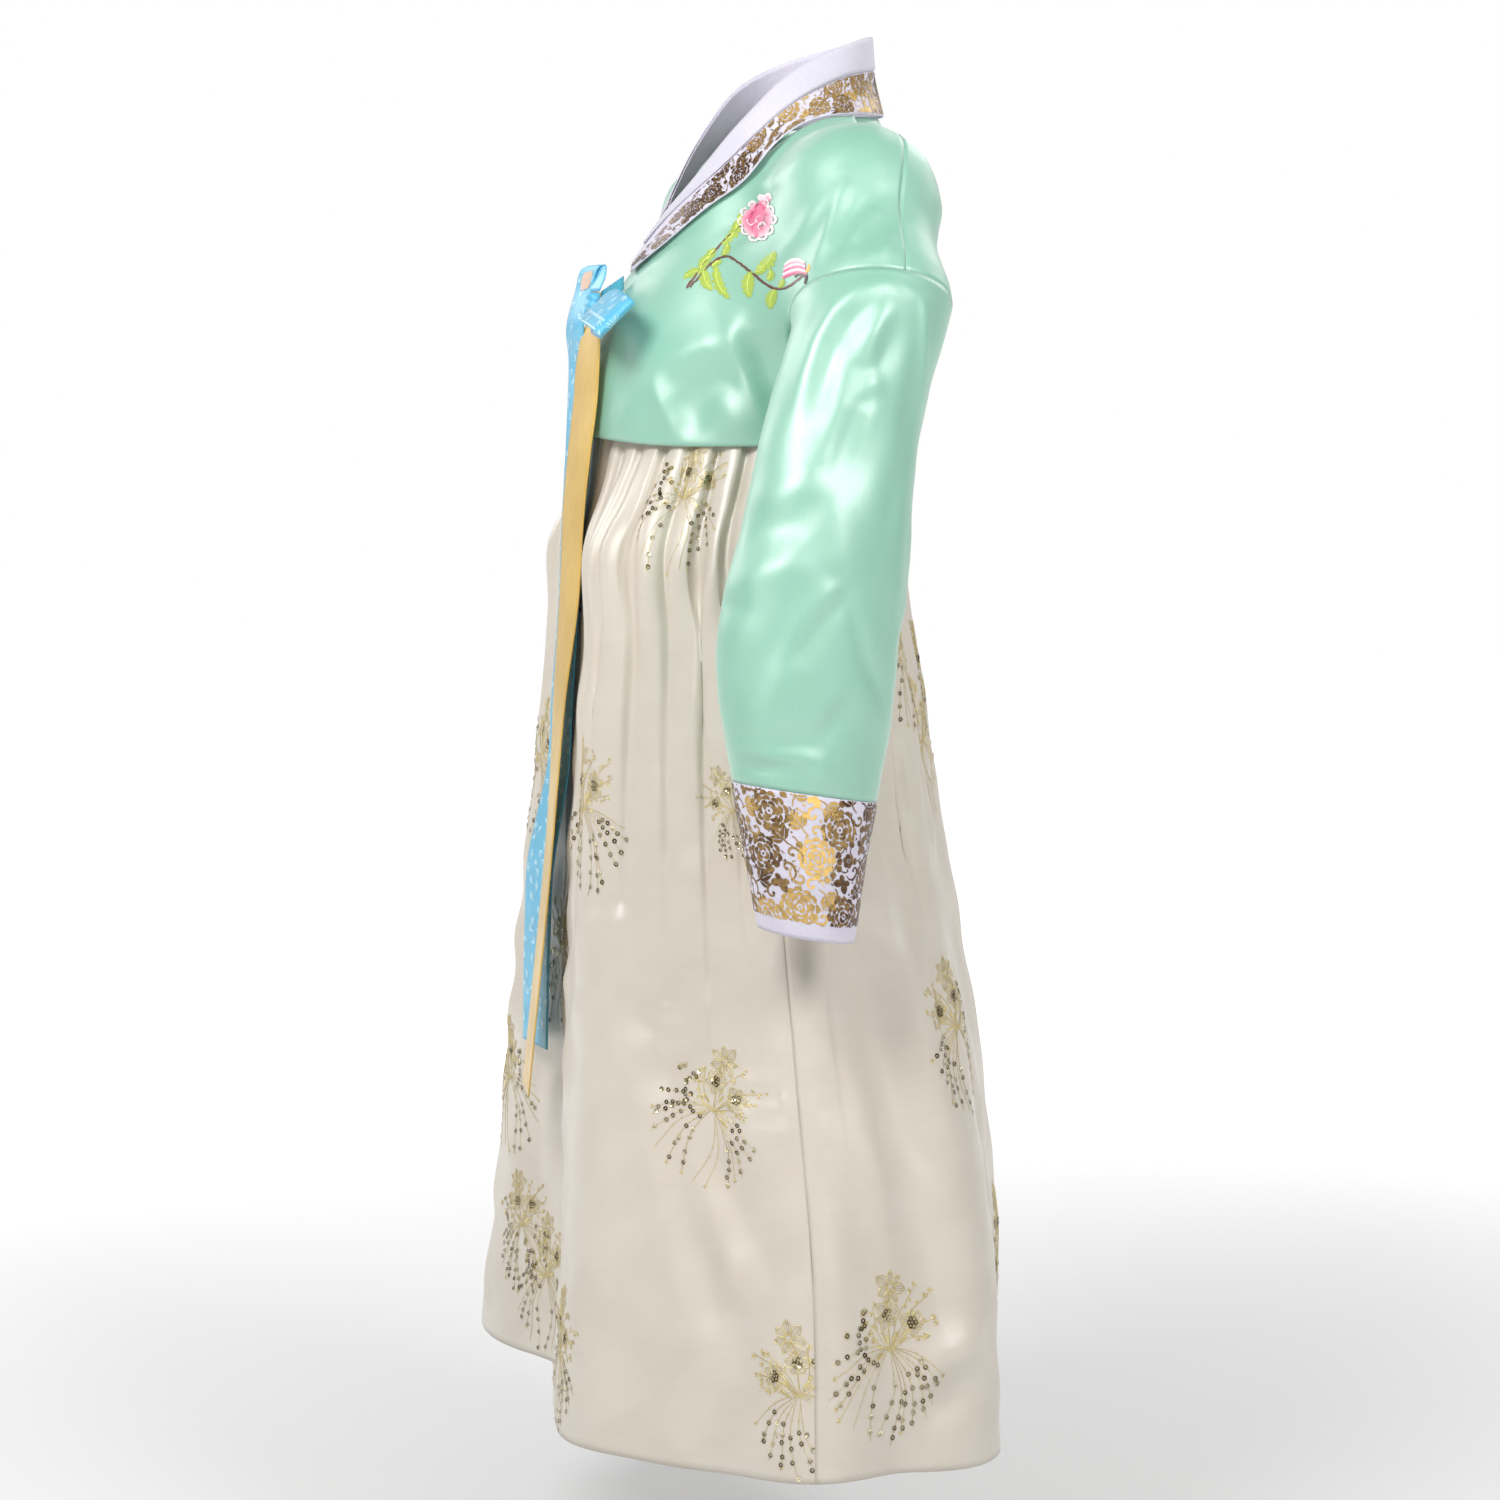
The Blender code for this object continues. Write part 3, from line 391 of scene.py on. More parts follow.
# Creases of the worn cloth. Soft ridges are above the cloth and troughs below it; each fades
# towards its ends. Those in view are placed by pixels of the photograph, as (x, y) points.
# node, height in mm, half width in mm, points
SEEN_CREASES = (
    ("jeogori_front_right", 7.5, 18.0, ((672, 168), (657, 198), (640, 232), (630, 258))),
    ("jeogori_front_left", 4.6, 5.5, ((846, 176), (842, 192), (833, 220), (824, 245), (812, 270))),
    ("jeogori_front_left", -3.4, 9.0, ((858, 190), (852, 215), (842, 240), (830, 262))),
    ("jeogori_front_left", 3.0, 8.0, ((838, 184), (820, 205), (800, 235), (775, 262))),
    ("jeogori_front_left", 3.4, 6.0, ((878, 206), (862, 222), (850, 242))),
    ("jeogori_front_left", -2.2, 7.0, ((886, 214), (874, 236), (862, 256))),
    ("jeogori_front_left", 2.4, 5.0, ((893, 233), (884, 248), (872, 264))),
    ("jeogori_front_left", 4.6, 12.0, ((650, 374), (690, 353), (727, 338), (744, 308))),
    ("jeogori_front_left", -3.6, 13.0, ((676, 376), (702, 386), (724, 378), (734, 362))),
    (
        "jeogori_front_left", 4.8, 7.0,
        ((744, 318), (736, 334), (735, 350), (742, 371), (754, 397), (766, 428)),
    ),
    ("jeogori_front_left", -4.0, 12.0, ((759, 330), (762, 362), (771, 392), (778, 428))),
    ("jeogori_front_left", 4.2, 6.5, ((652, 374), (660, 396), (671, 420), (682, 446))),
    ("jeogori_front_left", -3.8, 14.0, ((677, 392), (692, 414), (704, 440))),
    ("jeogori_front_left", 2.6, 10.0, ((716, 392), (732, 412), (752, 440))),
    ("jeogori_front_left", 2.4, 7.0, ((700, 210), (725, 200), (752, 188), (790, 170))),
    ("jeogori_front_left", -2.0, 9.0, ((715, 228), (735, 215), (770, 196), (815, 178))),
    ("jeogori_front_left", 2.2, 9.0, ((625, 300), (617, 330), (612, 365), (612, 400))),
    ("jeogori_front_left", 2.6, 12.0, ((600, 445), (622, 428), (640, 400), (642, 372))),
    ("sleeve_left", 5.4, 7.0, ((894, 281), (862, 292), (836, 313), (819, 341), (808, 373), (796, 412))),
    ("sleeve_left", -4.2, 9.0, ((893, 290), (868, 303), (848, 322), (834, 350), (824, 385), (812, 430))),
    ("sleeve_left", 5.0, 8.0, ((893, 296), (882, 320), (870, 344), (861, 368))),
    ("sleeve_left", -4.4, 8.0, ((898, 316), (888, 340), (876, 366), (864, 388))),
    ("sleeve_left", 3.0, 6.0, ((884, 372), (874, 384), (860, 396), (850, 404))),
    ("sleeve_left", -3.0, 6.0, ((876, 386), (868, 396), (860, 410))),
    ("sleeve_left", 3.2, 9.0, ((836, 330), (842, 360), (838, 410), (826, 480))),
    ("sleeve_left", -3.0, 10.0, ((860, 408), (858, 440), (850, 480), (842, 520))),
    ("sleeve_left", 3.4, 12.0, ((820, 470), (838, 500), (842, 545), (838, 585))),
    ("sleeve_left", -4.0, 14.0, ((742, 548), (768, 530), (790, 527), (808, 540))),
    ("sleeve_left", 3.8, 11.0, ((740, 588), (765, 572), (792, 566), (815, 580))),
    ("sleeve_left", 3.4, 11.0, ((756, 500), (780, 496), (802, 486), (818, 466))),
    ("sleeve_left", -3.0, 9.0, ((868, 400), (845, 440), (826, 490), (812, 520))),
    ("sleeve_left", 2.4, 3.0, ((921, 270), (924, 300), (924, 340), (922, 400))),
    ("sleeve_left", -2.6, 4.5, ((853, 585), (840, 600), (824, 618), (806, 645), (790, 668))),
    ("sleeve_left", 2.2, 6.0, ((850, 574), (834, 590), (815, 610), (797, 637), (782, 660))),
    ("sleeve_left", -1.8, 5.0, ((826, 574), (838, 578), (850, 576))),
    ("sleeve_left", -3.0, 12.0, ((795, 625), (775, 648), (755, 668), (735, 698), (724, 725))),
    ("sleeve_left", 2.6, 11.0, ((800, 655), (782, 680), (764, 708), (744, 735))),
    ("sleeve_left", -2.0, 7.0, ((724, 600), (735, 607), (748, 612))),
    ("sleeve_left", -2.4, 6.0, ((852, 696), (838, 714), (822, 734), (812, 752))),
    ("sleeve_left", 1.8, 6.0, ((842, 690), (828, 708), (812, 726))),
    ("sleeve_left", -3.2, 7.0, ((770, 748), (785, 744), (802, 742), (815, 748))),
    ("sleeve_left", 2.4, 4.5, ((727, 745), (745, 749), (768, 755), (792, 756), (818, 762), (828, 778))),
    ("sleeve_left", -2.4, 5.0, ((728, 765), (748, 768), (770, 770), (792, 768), (804, 772))),
    ("sleeve_left", 1.8, 4.0, ((732, 776), (750, 778), (772, 782), (790, 780))),
    ("sleeve_left", 1.8, 5.0, ((806, 768), (820, 778), (832, 792))),
    ("sleeve_left", 1.6, 9.0, ((905, 330), (903, 420), (900, 520), (893, 640), (884, 760))),
    ("chima_front", 4.0, 9.0, ((716, 525), (713, 552), (707, 585), (702, 640), (700, 690), (700, 740))),
    ("chima_front", -3.6, 8.0, ((706, 520), (702, 560), (696, 600), (690, 650), (688, 700))),
    ("chima_front", -3.0, 8.0, ((727, 520), (724, 560), (722, 600), (718, 650))),
    ("chima_front", 3.2, 10.0, ((655, 470), (648, 520), (644, 580), (640, 640))),
    ("chima_front", -3.2, 9.0, ((636, 480), (630, 540), (622, 600), (616, 660))),
    ("chima_front", 2.4, 12.0, ((600, 620), (596, 690), (594, 760), (592, 840))),
    ("chima_front", 3.4, 14.0, ((690, 1136), (700, 1180), (718, 1230), (742, 1290), (762, 1335))),
    ("chima_front", -3.4, 13.0, ((672, 1150), (684, 1210), (702, 1268), (724, 1322), (740, 1370))),
    ("chima_front", -3.0, 14.0, ((712, 1160), (735, 1200), (760, 1250), (778, 1300))),
    ("chima_front", 2.4, 10.0, ((735, 1245), (730, 1290), (716, 1340), (700, 1390))),
    ("chima_front", 3.0, 16.0, ((600, 1010), (640, 1120), (668, 1230), (690, 1330), (705, 1420))),
    ("chima_front", -2.6, 12.0, ((620, 960), (660, 1060), (676, 1140))),
    ("chima_front", 1.5, 4.0, ((640, 1010), (660, 1012), (690, 1008))),
    ("chima_front", -1.4, 4.0, ((636, 1022), (664, 1024), (700, 1016))),
    ("chima_front", 1.4, 4.0, ((655, 985), (676, 982), (700, 986))),
    ("chima_front", 1.4, 3.5, ((662, 1040), (680, 1043), (697, 1044))),
    ("chima_front", 1.6, 3.5, ((728, 1106), (740, 1112), (748, 1116))),
    ("chima_front", -1.6, 5.0, ((590, 905), (610, 900), (640, 905))),
    ("chima_front", 1.4, 4.0, ((560, 985), (590, 975), (620, 985))),
    ("chima_front", 2.6, 5.0, ((783, 1075), (790, 1084), (800, 1078), (806, 1072))),
    ("chima_front", -2.2, 5.0, ((786, 1098), (795, 1092), (806, 1094))),
    ("chima_front", 2.4, 5.0, ((787, 1108), (797, 1104), (808, 1094))),
    ("chima_front", 2.2, 5.0, ((789, 1140), (800, 1134), (812, 1130))),
    ("chima_back", 2.6, 5.0, ((792, 1082), (804, 1074), (816, 1068))),
    ("chima_back", -2.0, 5.0, ((792, 1096), (806, 1088), (820, 1086))),
    ("chima_back", 2.4, 5.0, ((794, 1110), (808, 1100), (822, 1092))),
    ("chima_back", 2.0, 5.0, ((794, 1140), (808, 1128), (820, 1124))),
    ("chima_back", -4.0, 16.0, ((870, 960), (880, 1040), (900, 1120), (930, 1200))),
    ("chima_back", 4.2, 16.0, ((900, 900), (915, 990), (935, 1070), (952, 1150))),
    ("chima_back", -3.4, 12.0, ((925, 940), (945, 1030), (966, 1110))),
    ("chima_back", 3.4, 14.0, ((850, 1060), (868, 1150), (886, 1240), (892, 1320))),
    ("chima_back", -3.0, 13.0, ((905, 1190), (930, 1260), (948, 1340), (955, 1400))),
    ("chima_back", 4.2, 12.0, ((985, 1330), (965, 1345), (940, 1365), (915, 1395))),
    ("chima_back", -3.4, 12.0, ((985, 1370), (960, 1388), (935, 1408), (920, 1440))),
    ("chima_back", 2.6, 11.0, ((818, 1200), (832, 1270), (838, 1350), (836, 1430))),
    ("chima_back", 3.0, 9.0, ((905, 640), (915, 700), (925, 770), (930, 850))),
    ("chima_back", -2.8, 8.0, ((893, 700), (900, 780), (908, 860), (915, 920))),
)
# Creases out of view, placed by shares of the cloth's columns and rows.
# node, height in mm, half width in mm, (across, down) points
HIDDEN_CREASES = (
    ("jeogori_front_right", 2.6, 7.0, ((0.22, 0.10), (0.26, 0.20), (0.30, 0.32), (0.24, 0.42))),
    ("jeogori_front_right", -2.4, 9.0, ((0.14, 0.14), (0.17, 0.26), (0.20, 0.36))),
    ("jeogori_front_right", 2.2, 9.0, ((0.30, 0.55), (0.45, 0.60), (0.62, 0.56), (0.75, 0.62))),
    ("jeogori_front_right", -2.4, 12.0, ((0.20, 0.66), (0.40, 0.76), (0.62, 0.74), (0.85, 0.80))),
    ("jeogori_front_right", 1.8, 8.0, ((0.55, 0.20), (0.70, 0.34), (0.80, 0.50))),
    ("jeogori_back", 2.8, 9.0, ((0.16, 0.16), (0.22, 0.30), (0.30, 0.42), (0.36, 0.56))),
    ("jeogori_back", -2.6, 10.0, ((0.22, 0.14), (0.30, 0.30), (0.37, 0.44))),
    ("jeogori_back", 2.8, 9.0, ((0.84, 0.18), (0.77, 0.30), (0.71, 0.46), (0.66, 0.60))),
    ("jeogori_back", -2.4, 10.0, ((0.78, 0.14), (0.70, 0.30), (0.63, 0.42))),
    ("jeogori_back", 2.0, 12.0, ((0.36, 0.80), (0.46, 0.72), (0.58, 0.76), (0.68, 0.86))),
    ("jeogori_back", -2.0, 11.0, ((0.40, 0.90), (0.50, 0.83), (0.60, 0.90))),
    ("jeogori_back", 1.8, 8.0, ((0.47, 0.12), (0.46, 0.30), (0.48, 0.50))),
    ("jeogori_back", -1.8, 10.0, ((0.54, 0.20), (0.55, 0.38), (0.53, 0.56))),
    ("sleeve_right", 3.4, 8.0, ((0.05, 0.48), (0.15, 0.44), (0.27, 0.46), (0.36, 0.52))),
    ("sleeve_right", -3.4, 8.0, ((0.06, 0.55), (0.17, 0.51), (0.28, 0.53))),
    ("sleeve_right", 3.0, 7.0, ((0.04, 0.62), (0.14, 0.58), (0.26, 0.60), (0.34, 0.66))),
    ("sleeve_right", -2.8, 7.0, ((0.07, 0.40), (0.18, 0.37), (0.28, 0.39))),
    ("sleeve_right", 2.6, 9.0, ((0.55, 0.10), (0.60, 0.25), (0.58, 0.40))),
    ("sleeve_right", -2.6, 9.0, ((0.70, 0.12), (0.74, 0.30), (0.70, 0.46))),
    ("sleeve_right", 2.2, 7.0, ((0.85, 0.20), (0.88, 0.36), (0.84, 0.52))),
    ("sleeve_right", 2.0, 6.0, ((0.55, 0.78), (0.66, 0.82), (0.80, 0.80))),
    ("sleeve_right", -2.0, 6.0, ((0.52, 0.86), (0.66, 0.90), (0.78, 0.88))),
    ("sleeve_left", 2.6, 9.0, ((0.40, 0.12), (0.44, 0.26), (0.42, 0.42))),
    ("sleeve_left", -2.6, 9.0, ((0.52, 0.14), (0.55, 0.32), (0.52, 0.48))),
    ("sleeve_left", 2.4, 8.0, ((0.62, 0.42), (0.66, 0.56), (0.60, 0.70))),
    ("sleeve_left", -2.2, 8.0, ((0.45, 0.62), (0.52, 0.74), (0.60, 0.84))),
    ("chima_front", 3.6, 12.0, ((0.10, 0.42), (0.11, 0.60), (0.14, 0.80), (0.13, 0.95))),
    ("chima_front", -3.4, 12.0, ((0.17, 0.38), (0.19, 0.56), (0.21, 0.78))),
    ("chima_front", 3.6, 13.0, ((0.27, 0.46), (0.29, 0.64), (0.27, 0.86))),
    ("chima_front", -3.2, 12.0, ((0.35, 0.50), (0.37, 0.70), (0.40, 0.90))),
    ("chima_front", 3.0, 11.0, ((0.46, 0.40), (0.47, 0.60), (0.50, 0.80))),
    ("chima_back", 3.8, 13.0, ((0.30, 0.40), (0.31, 0.58), (0.34, 0.80), (0.33, 0.95))),
    ("chima_back", -3.4, 13.0, ((0.38, 0.36), (0.40, 0.60), (0.42, 0.84))),
    ("chima_back", 3.6, 12.0, ((0.48, 0.44), (0.47, 0.66), (0.50, 0.90))),
    ("chima_back", -3.2, 12.0, ((0.57, 0.38), (0.58, 0.58), (0.56, 0.82))),
    ("chima_back", 3.8, 13.0, ((0.66, 0.46), (0.68, 0.68), (0.70, 0.92))),
    ("chima_back", -3.2, 12.0, ((0.76, 0.40), (0.78, 0.62), (0.77, 0.86))),
    ("chima_back", 3.4, 12.0, ((0.87, 0.42), (0.88, 0.66), (0.90, 0.90))),
)
# Slight unevenness all over: how the node's name starts, height in mm, length of its waves in mm
UNEVEN = (
    ("jeogori", 0.45, 85.0),
    ("sleeve", 0.5, 90.0),
    ("cuff", 0.5, 60.0),
    ("git", 0.25, 70.0),
    ("dongjeong", 0.25, 45.0),
    ("chima", 1.5, 110.0),
)
UNEVEN_WAVES = 9
# The share of the unevenness at an edge, and how far in it is whole
UNEVEN_EDGE, UNEVEN_FADE = 0.35, 0.03
# The share of it at the skirt's band, and from where to where down it grows
BAND_SHARE, BAND_FADE = 0.15, (0.15, 0.50)
# How much higher and broader than in the table the creases in view are
SKIRT_FOLDS, JACKET_FOLDS = (2.1, 1.6), (1.15, 1.6)
# How steeply a crease falls to its sides, and how it fades along its length
CREASE_FALL = 1.7
FADE_START, FADE_PACE, FADE_POWER = 0.12, 0.92, 0.8
# The share of a crease at a seam, and how far in it is whole
SEAM_SHARE, SEAM_FADE = 0.15, 0.014
# How deep and how broad a seam is drawn in, and how far each edge reaches past its solid's
SEAM_ROLL, SEAM_REACH, EDGE_REACH = 0.2 * MM, 2.5 * MM, 0.32 * MM
ARMHOLE_REACH = {"sleeve_left": 0.55 * MM, "sleeve_right": 1.1 * MM}
CREASE_SEED = 11


def crease_heights(cloth, path, height, half_width):
    """Height of one crease over the cloth: highest at its middle and low at its ends."""
    starts, ends = path[:-1], path[1:]
    spans = ends - starts
    lengths = np.linalg.norm(spans, axis=1)
    before = np.concatenate([[0], np.cumsum(lengths)[:-1]])
    flat = cloth.points.reshape(-1, 3)
    nearest = np.full(len(flat), np.inf)
    place = np.zeros(len(flat))
    for start, span, length, so_far in zip(starts, spans, lengths, before):
        off = flat - start
        share = np.clip(off @ span / length**2, 0, 1)
        distance = np.linalg.norm(off - share[:, None] * span, axis=1)
        closer = distance < nearest
        nearest[closer] = distance[closer]
        place[closer] = (so_far + share * length)[closer]
    share = np.clip(place / lengths.sum(), 0, 1)
    fade = np.sin(np.pi * share * FADE_PACE + FADE_START) ** FADE_POWER
    shape = np.exp(-((nearest / half_width) ** CREASE_FALL))
    return (height * fade * shape).reshape(cloth.points.shape[:2])


def uneven_heights(cloth, height, wave_length, seed):
    """A sum of long waves in all directions, the same at each run."""
    draw = np.random.default_rng(seed)
    across, down = cloth.along, cloth.down[:, None]
    total = np.zeros_like(across)
    for _ in range(UNEVEN_WAVES):
        turn, phase = draw.uniform(0, math.pi), draw.uniform(0, 2 * math.pi)
        pace = 2 * math.pi / (wave_length * draw.uniform(0.5, 1.6))
        total += np.sin(pace * (math.cos(turn) * across + math.sin(turn) * down) + phase)
    total *= height / math.sqrt(UNEVEN_WAVES)
    if cloth.closed:
        total *= eased(np.minimum(across, across[:, -1:] - across), 0, UNEVEN_FADE)
    edge = np.minimum(down, cloth.down[-1] - down)
    return total * (UNEVEN_EDGE + (1 - UNEVEN_EDGE) * eased(edge, 0, UNEVEN_FADE))


def creased(cloth, seed):
    """All the creases of one cloth, then its seams drawn in a little."""
    heights = np.zeros(cloth.points.shape[:2])
    rise, breadth = SKIRT_FOLDS if cloth.node.startswith("chima") else JACKET_FOLDS
    for node, height, half_width, pixels in SEEN_CREASES:
        if node == cloth.node:
            rows, columns = np.array([cloth.seen(*pixel) for pixel in pixels]).T
            path = cloth.at(rows, columns)[0]
            heights += crease_heights(cloth, path, rise * height * MM, breadth * half_width * MM)
    last_row, last_column = np.array(cloth.points.shape[:2]) - 1
    for node, height, half_width, shares in HIDDEN_CREASES:
        if node == cloth.node:
            across, down = np.array(shares).T
            path = cloth.at(down * last_row, across * last_column)[0]
            heights += crease_heights(cloth, path, height * MM, half_width * MM)
    for start, height, wave_length in UNEVEN:
        if cloth.node.startswith(start):
            waves = uneven_heights(cloth, height * MM, wave_length * MM, seed)
            if start == "chima":
                waves *= BAND_SHARE + (1 - BAND_SHARE) * eased(cloth.down[:, None], *BAND_FADE)
            heights += waves
    down = cloth.down[:, None]
    edge = np.minimum(down, cloth.down[-1] - down)
    if not cloth.closed:
        along = cloth.along
        edge = np.minimum(edge, np.minimum(along, along[:, -1:] - along))
    heights = heights * (SEAM_SHARE + (1 - SEAM_SHARE) * eased(edge, 0, SEAM_FADE))
    cloth.raise_by(heights - SEAM_ROLL * (1 - eased(edge, 0, SEAM_REACH)))
    stretch_edges(cloth)


def stretch_edges(cloth):
    """Each edge reaches its seam, so that no light shows between two pieces."""
    points = cloth.points
    points[0] += ARMHOLE_REACH.get(cloth.node, EDGE_REACH) * unit(points[0] - points[1])
    points[-1] += EDGE_REACH * unit(points[-1] - points[-2])
    if not cloth.closed:
        points[:, 0] += EDGE_REACH * unit(points[:, 0] - points[:, 1])
        points[:, -1] += EDGE_REACH * unit(points[:, -1] - points[:, -2])


def mesh_object(name, points, faces, finish, uv=None, shade=None):
    """A finished piece from points and faces, with its flat measure in metres and its shade."""
    mesh = bpy.data.meshes.new(name)
    mesh.from_pydata(np.asarray(points).tolist(), [], faces)
    if uv is not None:
        layer = mesh.uv_layers.new(name="cloth")
        corners = np.empty(len(mesh.loops), int)
        mesh.loops.foreach_get("vertex_index", corners)
        layer.data.foreach_set("uv", np.asarray(uv, float)[corners].ravel())
    if shade is not None:
        mesh.attributes.new("shade", "FLOAT", "POINT").data.foreach_set("value", np.asarray(shade, float))
    mesh.materials.append(finish)
    mesh.polygons.foreach_set("use_smooth", [True] * len(mesh.polygons))
    piece = bpy.data.objects.new(name, mesh)
    bpy.context.scene.collection.objects.link(piece)
    return piece


def shell(cloth, name, thickness, finish):
    """The cloth as a thin wall with closed edges."""
    columns = cloth.points.shape[1] - (1 if cloth.closed else 0)
    rows = len(cloth.points)
    outer = cloth.points[:, :columns].reshape(-1, 3)
    inner = outer - thickness * cloth.outward[:, :columns].reshape(-1, 3)
    count = len(outer)
    number = np.arange(count).reshape(rows, columns)
    if cloth.closed:
        number = np.concatenate([number, number[:, :1]], axis=1)
    a, b = number[:-1, :-1].ravel(), number[:-1, 1:].ravel()
    c, d = number[1:, 1:].ravel(), number[1:, :-1].ravel()
    outside = np.stack([a, d, c, b], axis=1)
    faces = np.concatenate([outside, outside[:, ::-1] + count])
    rims = [number[0], number[-1][::-1]]
    if not cloth.closed:
        rims += [number[::-1, 0], number[:, -1]]
    for rim in rims:
        x, y = rim[:-1], rim[1:]
        faces = np.concatenate([faces, np.stack([x, y, y + count, x + count], axis=1)])
    up = np.broadcast_to(-cloth.down[:, None], (rows, columns))
    measure = np.tile(np.stack([cloth.along[:, :columns], up], -1).reshape(-1, 2), (2, 1))
    return mesh_object(name, np.concatenate([outer, inner]), faces.tolist(), finish, measure)


# Ribbons of the bow, drawn again on the places of their solids: x, y, z, half width, the turn of
# the width in degrees and the depth of the crease along the middle
GOLD_TAIL = (
    (0.0040, -0.1845, -0.1820, 0.012, 2, 0.0),
    (0.0020, -0.1860, -0.1980, 0.024, 2, 0.001),
    (0.0000, -0.1880, -0.2200, 0.030, 2, 0.002),
    (0.0000, -0.1905, -0.2530, 0.031, 2, 0.002),
    (0.0000, -0.1960, -0.2960, 0.030, 2, 0.002),
    (0.0000, -0.2010, -0.3400, 0.030, 1, 0.0015),
    (0.0000, -0.2065, -0.4280, 0.030, -1, 0.0015),
    (0.0000, -0.2160, -0.5160, 0.030, -7, 0.001),
    (0.0000, -0.2210, -0.5840, 0.030, -10, 0.001),
    (0.0000, -0.2267, -0.6500, 0.030, -11, 0.001),
    (0.0000, -0.2358, -0.7390, 0.030, -11, 0.001),
    (0.0000, -0.2407, -0.7840, 0.030, -11, 0.001),
    (0.0000, -0.2496, -0.8650, 0.030, -11, 0.0),
)
BLUE_TAIL = (
    (0.0030, -0.1820, -0.1583, 0.010, 4, 0.0),
    (-0.0010, -0.1775, -0.1450, 0.014, 8, 0.0),
    (-0.0070, -0.1765, -0.1352, 0.015, 10, 0.0),
    (-0.0140, -0.1795, -0.1362, 0.016, 10, 0.0),
    (-0.0260, -0.1835, -0.1575, 0.019, 6, 0.001),
    (-0.0350, -0.1889, -0.1880, 0.023, 2, 0.002),
    (-0.0480, -0.1810, -0.2170, 0.026, 4, 0.002),
    (-0.0410, -0.1860, -0.2530, 0.025, 1, 0.001),
    (-0.0290, -0.1922, -0.2960, 0.025, 0, 0.0),
    (-0.0280, -0.1935, -0.3400, 0.029, 1, 0.0),
    (-0.0250, -0.1970, -0.3800, 0.030, 0, 0.0),
    (-0.0250, -0.1990, -0.4280, 0.030, 0, 0.0),
    (-0.0250, -0.2060, -0.5160, 0.030, 1, 0.0),
    (-0.0260, -0.2105, -0.5840, 0.030, 2, 0.0),
    (-0.0350, -0.2160, -0.6250, 0.030, 4, 0.0),
    (-0.0450, -0.2205, -0.6620, 0.030, 6, 0.0),
    (-0.0450, -0.2250, -0.7350, 0.030, 6, 0.0),
    (-0.0450, -0.2275, -0.8330, 0.030, 5, 0.0),
)
BLUE_ROOT = (
    (-0.0060, -0.1530, -0.1500, 0.006, 0, 0.0),
    (0.0000, -0.1640, -0.1565, 0.006, 0, 0.0),
    (0.0030, -0.1762, -0.1640, 0.006, 0, 0.0),
)
GOLD_ROOT = (
    (-0.0070, -0.1840, -0.1690, 0.007, 0, 0.0),
    (-0.0300, -0.1720, -0.1660, 0.009, 0, 0.0),
    (-0.0500, -0.1580, -0.1670, 0.009, 0, 0.0),
    (-0.0710, -0.1425, -0.1680, 0.009, 0, 0.0),
)
# One side of the loop as (out from the knot, off its middle line) in m, its way, its half width
# and its lean
LOOP_OUT = (
    (0.0106, 0.002), (0.030, 0.0055), (0.052, 0.0065), (0.074, 0.0055), (0.085, 0.0038), (0.090, 0.0000),
)
LOOP_WAY = (1.0, -0.086, -0.157)
LOOP_HALF_WIDTH, LOOP_LEAN_DEG = 0.0215, 47.0
# The share of its width that the loop has where the knot pinches it, and where it is whole
LOOP_PINCH, LOOP_SPREAD = 0.30, 0.06
LOOP_ROWS, LOOP_COLUMNS = 72, 13
KNOT_MIDDLE, KNOT_SIZE = (0.004, -0.1840, -0.1700), (0.010, 0.007, 0.012)
# The ribbon's turns over the knot, as lean and phase, with their height and pace, and its cloth in m
KNOT_TURNS = ((0.30, 0.9), (-0.22, 1.5), (0.02, 2.4))
KNOT_FOLD, KNOT_PACE = 0.05, 9
KNOT_CLOTH = (0.06, 0.04)
RIBBON_CLOTH = 1.2 * MM
RIBBON_COLUMNS, RIBBON_ROWS_PER_M = 17, 260
RIBBON_ROLL = 1.5


def ribbon_cloth(node, table, on_edge=False):
    """One ribbon's outer side: rows down its table of places, columns across its width."""
    table = np.array(table)
    knots = np.concatenate([[0], np.cumsum(np.linalg.norm(np.diff(table[:, :3], axis=0), axis=1))])
    rows = max(8, int(knots[-1] * RIBBON_ROWS_PER_M))
    even = through(knots, table, np.linspace(0, knots[-1], rows))
    middle, half_width, turn, crease = even[:, :3], even[:, 3], np.radians(even[:, 4]), even[:, 5]
    across = np.stack([np.cos(turn), np.sin(turn), 0 * turn], axis=-1)
    if on_edge:
        across = np.zeros_like(across) + (0.0, 0.0, 1.0)
    facing = unit(np.cross(unit(np.gradient(middle, axis=0)), across))
    places = np.linspace(-1, 1, RIBBON_COLUMNS)
    rolled = np.abs(places) ** RIBBON_ROLL
    sunk = (1 - rolled) * crease[:, None]
    grid = middle[:, None] + (places * half_width[:, None])[..., None] * across[:, None]
    grid = grid + (sunk + RIBBON_CLOTH / 2)[..., None] * facing[:, None]
    return Cloth(node, grid)


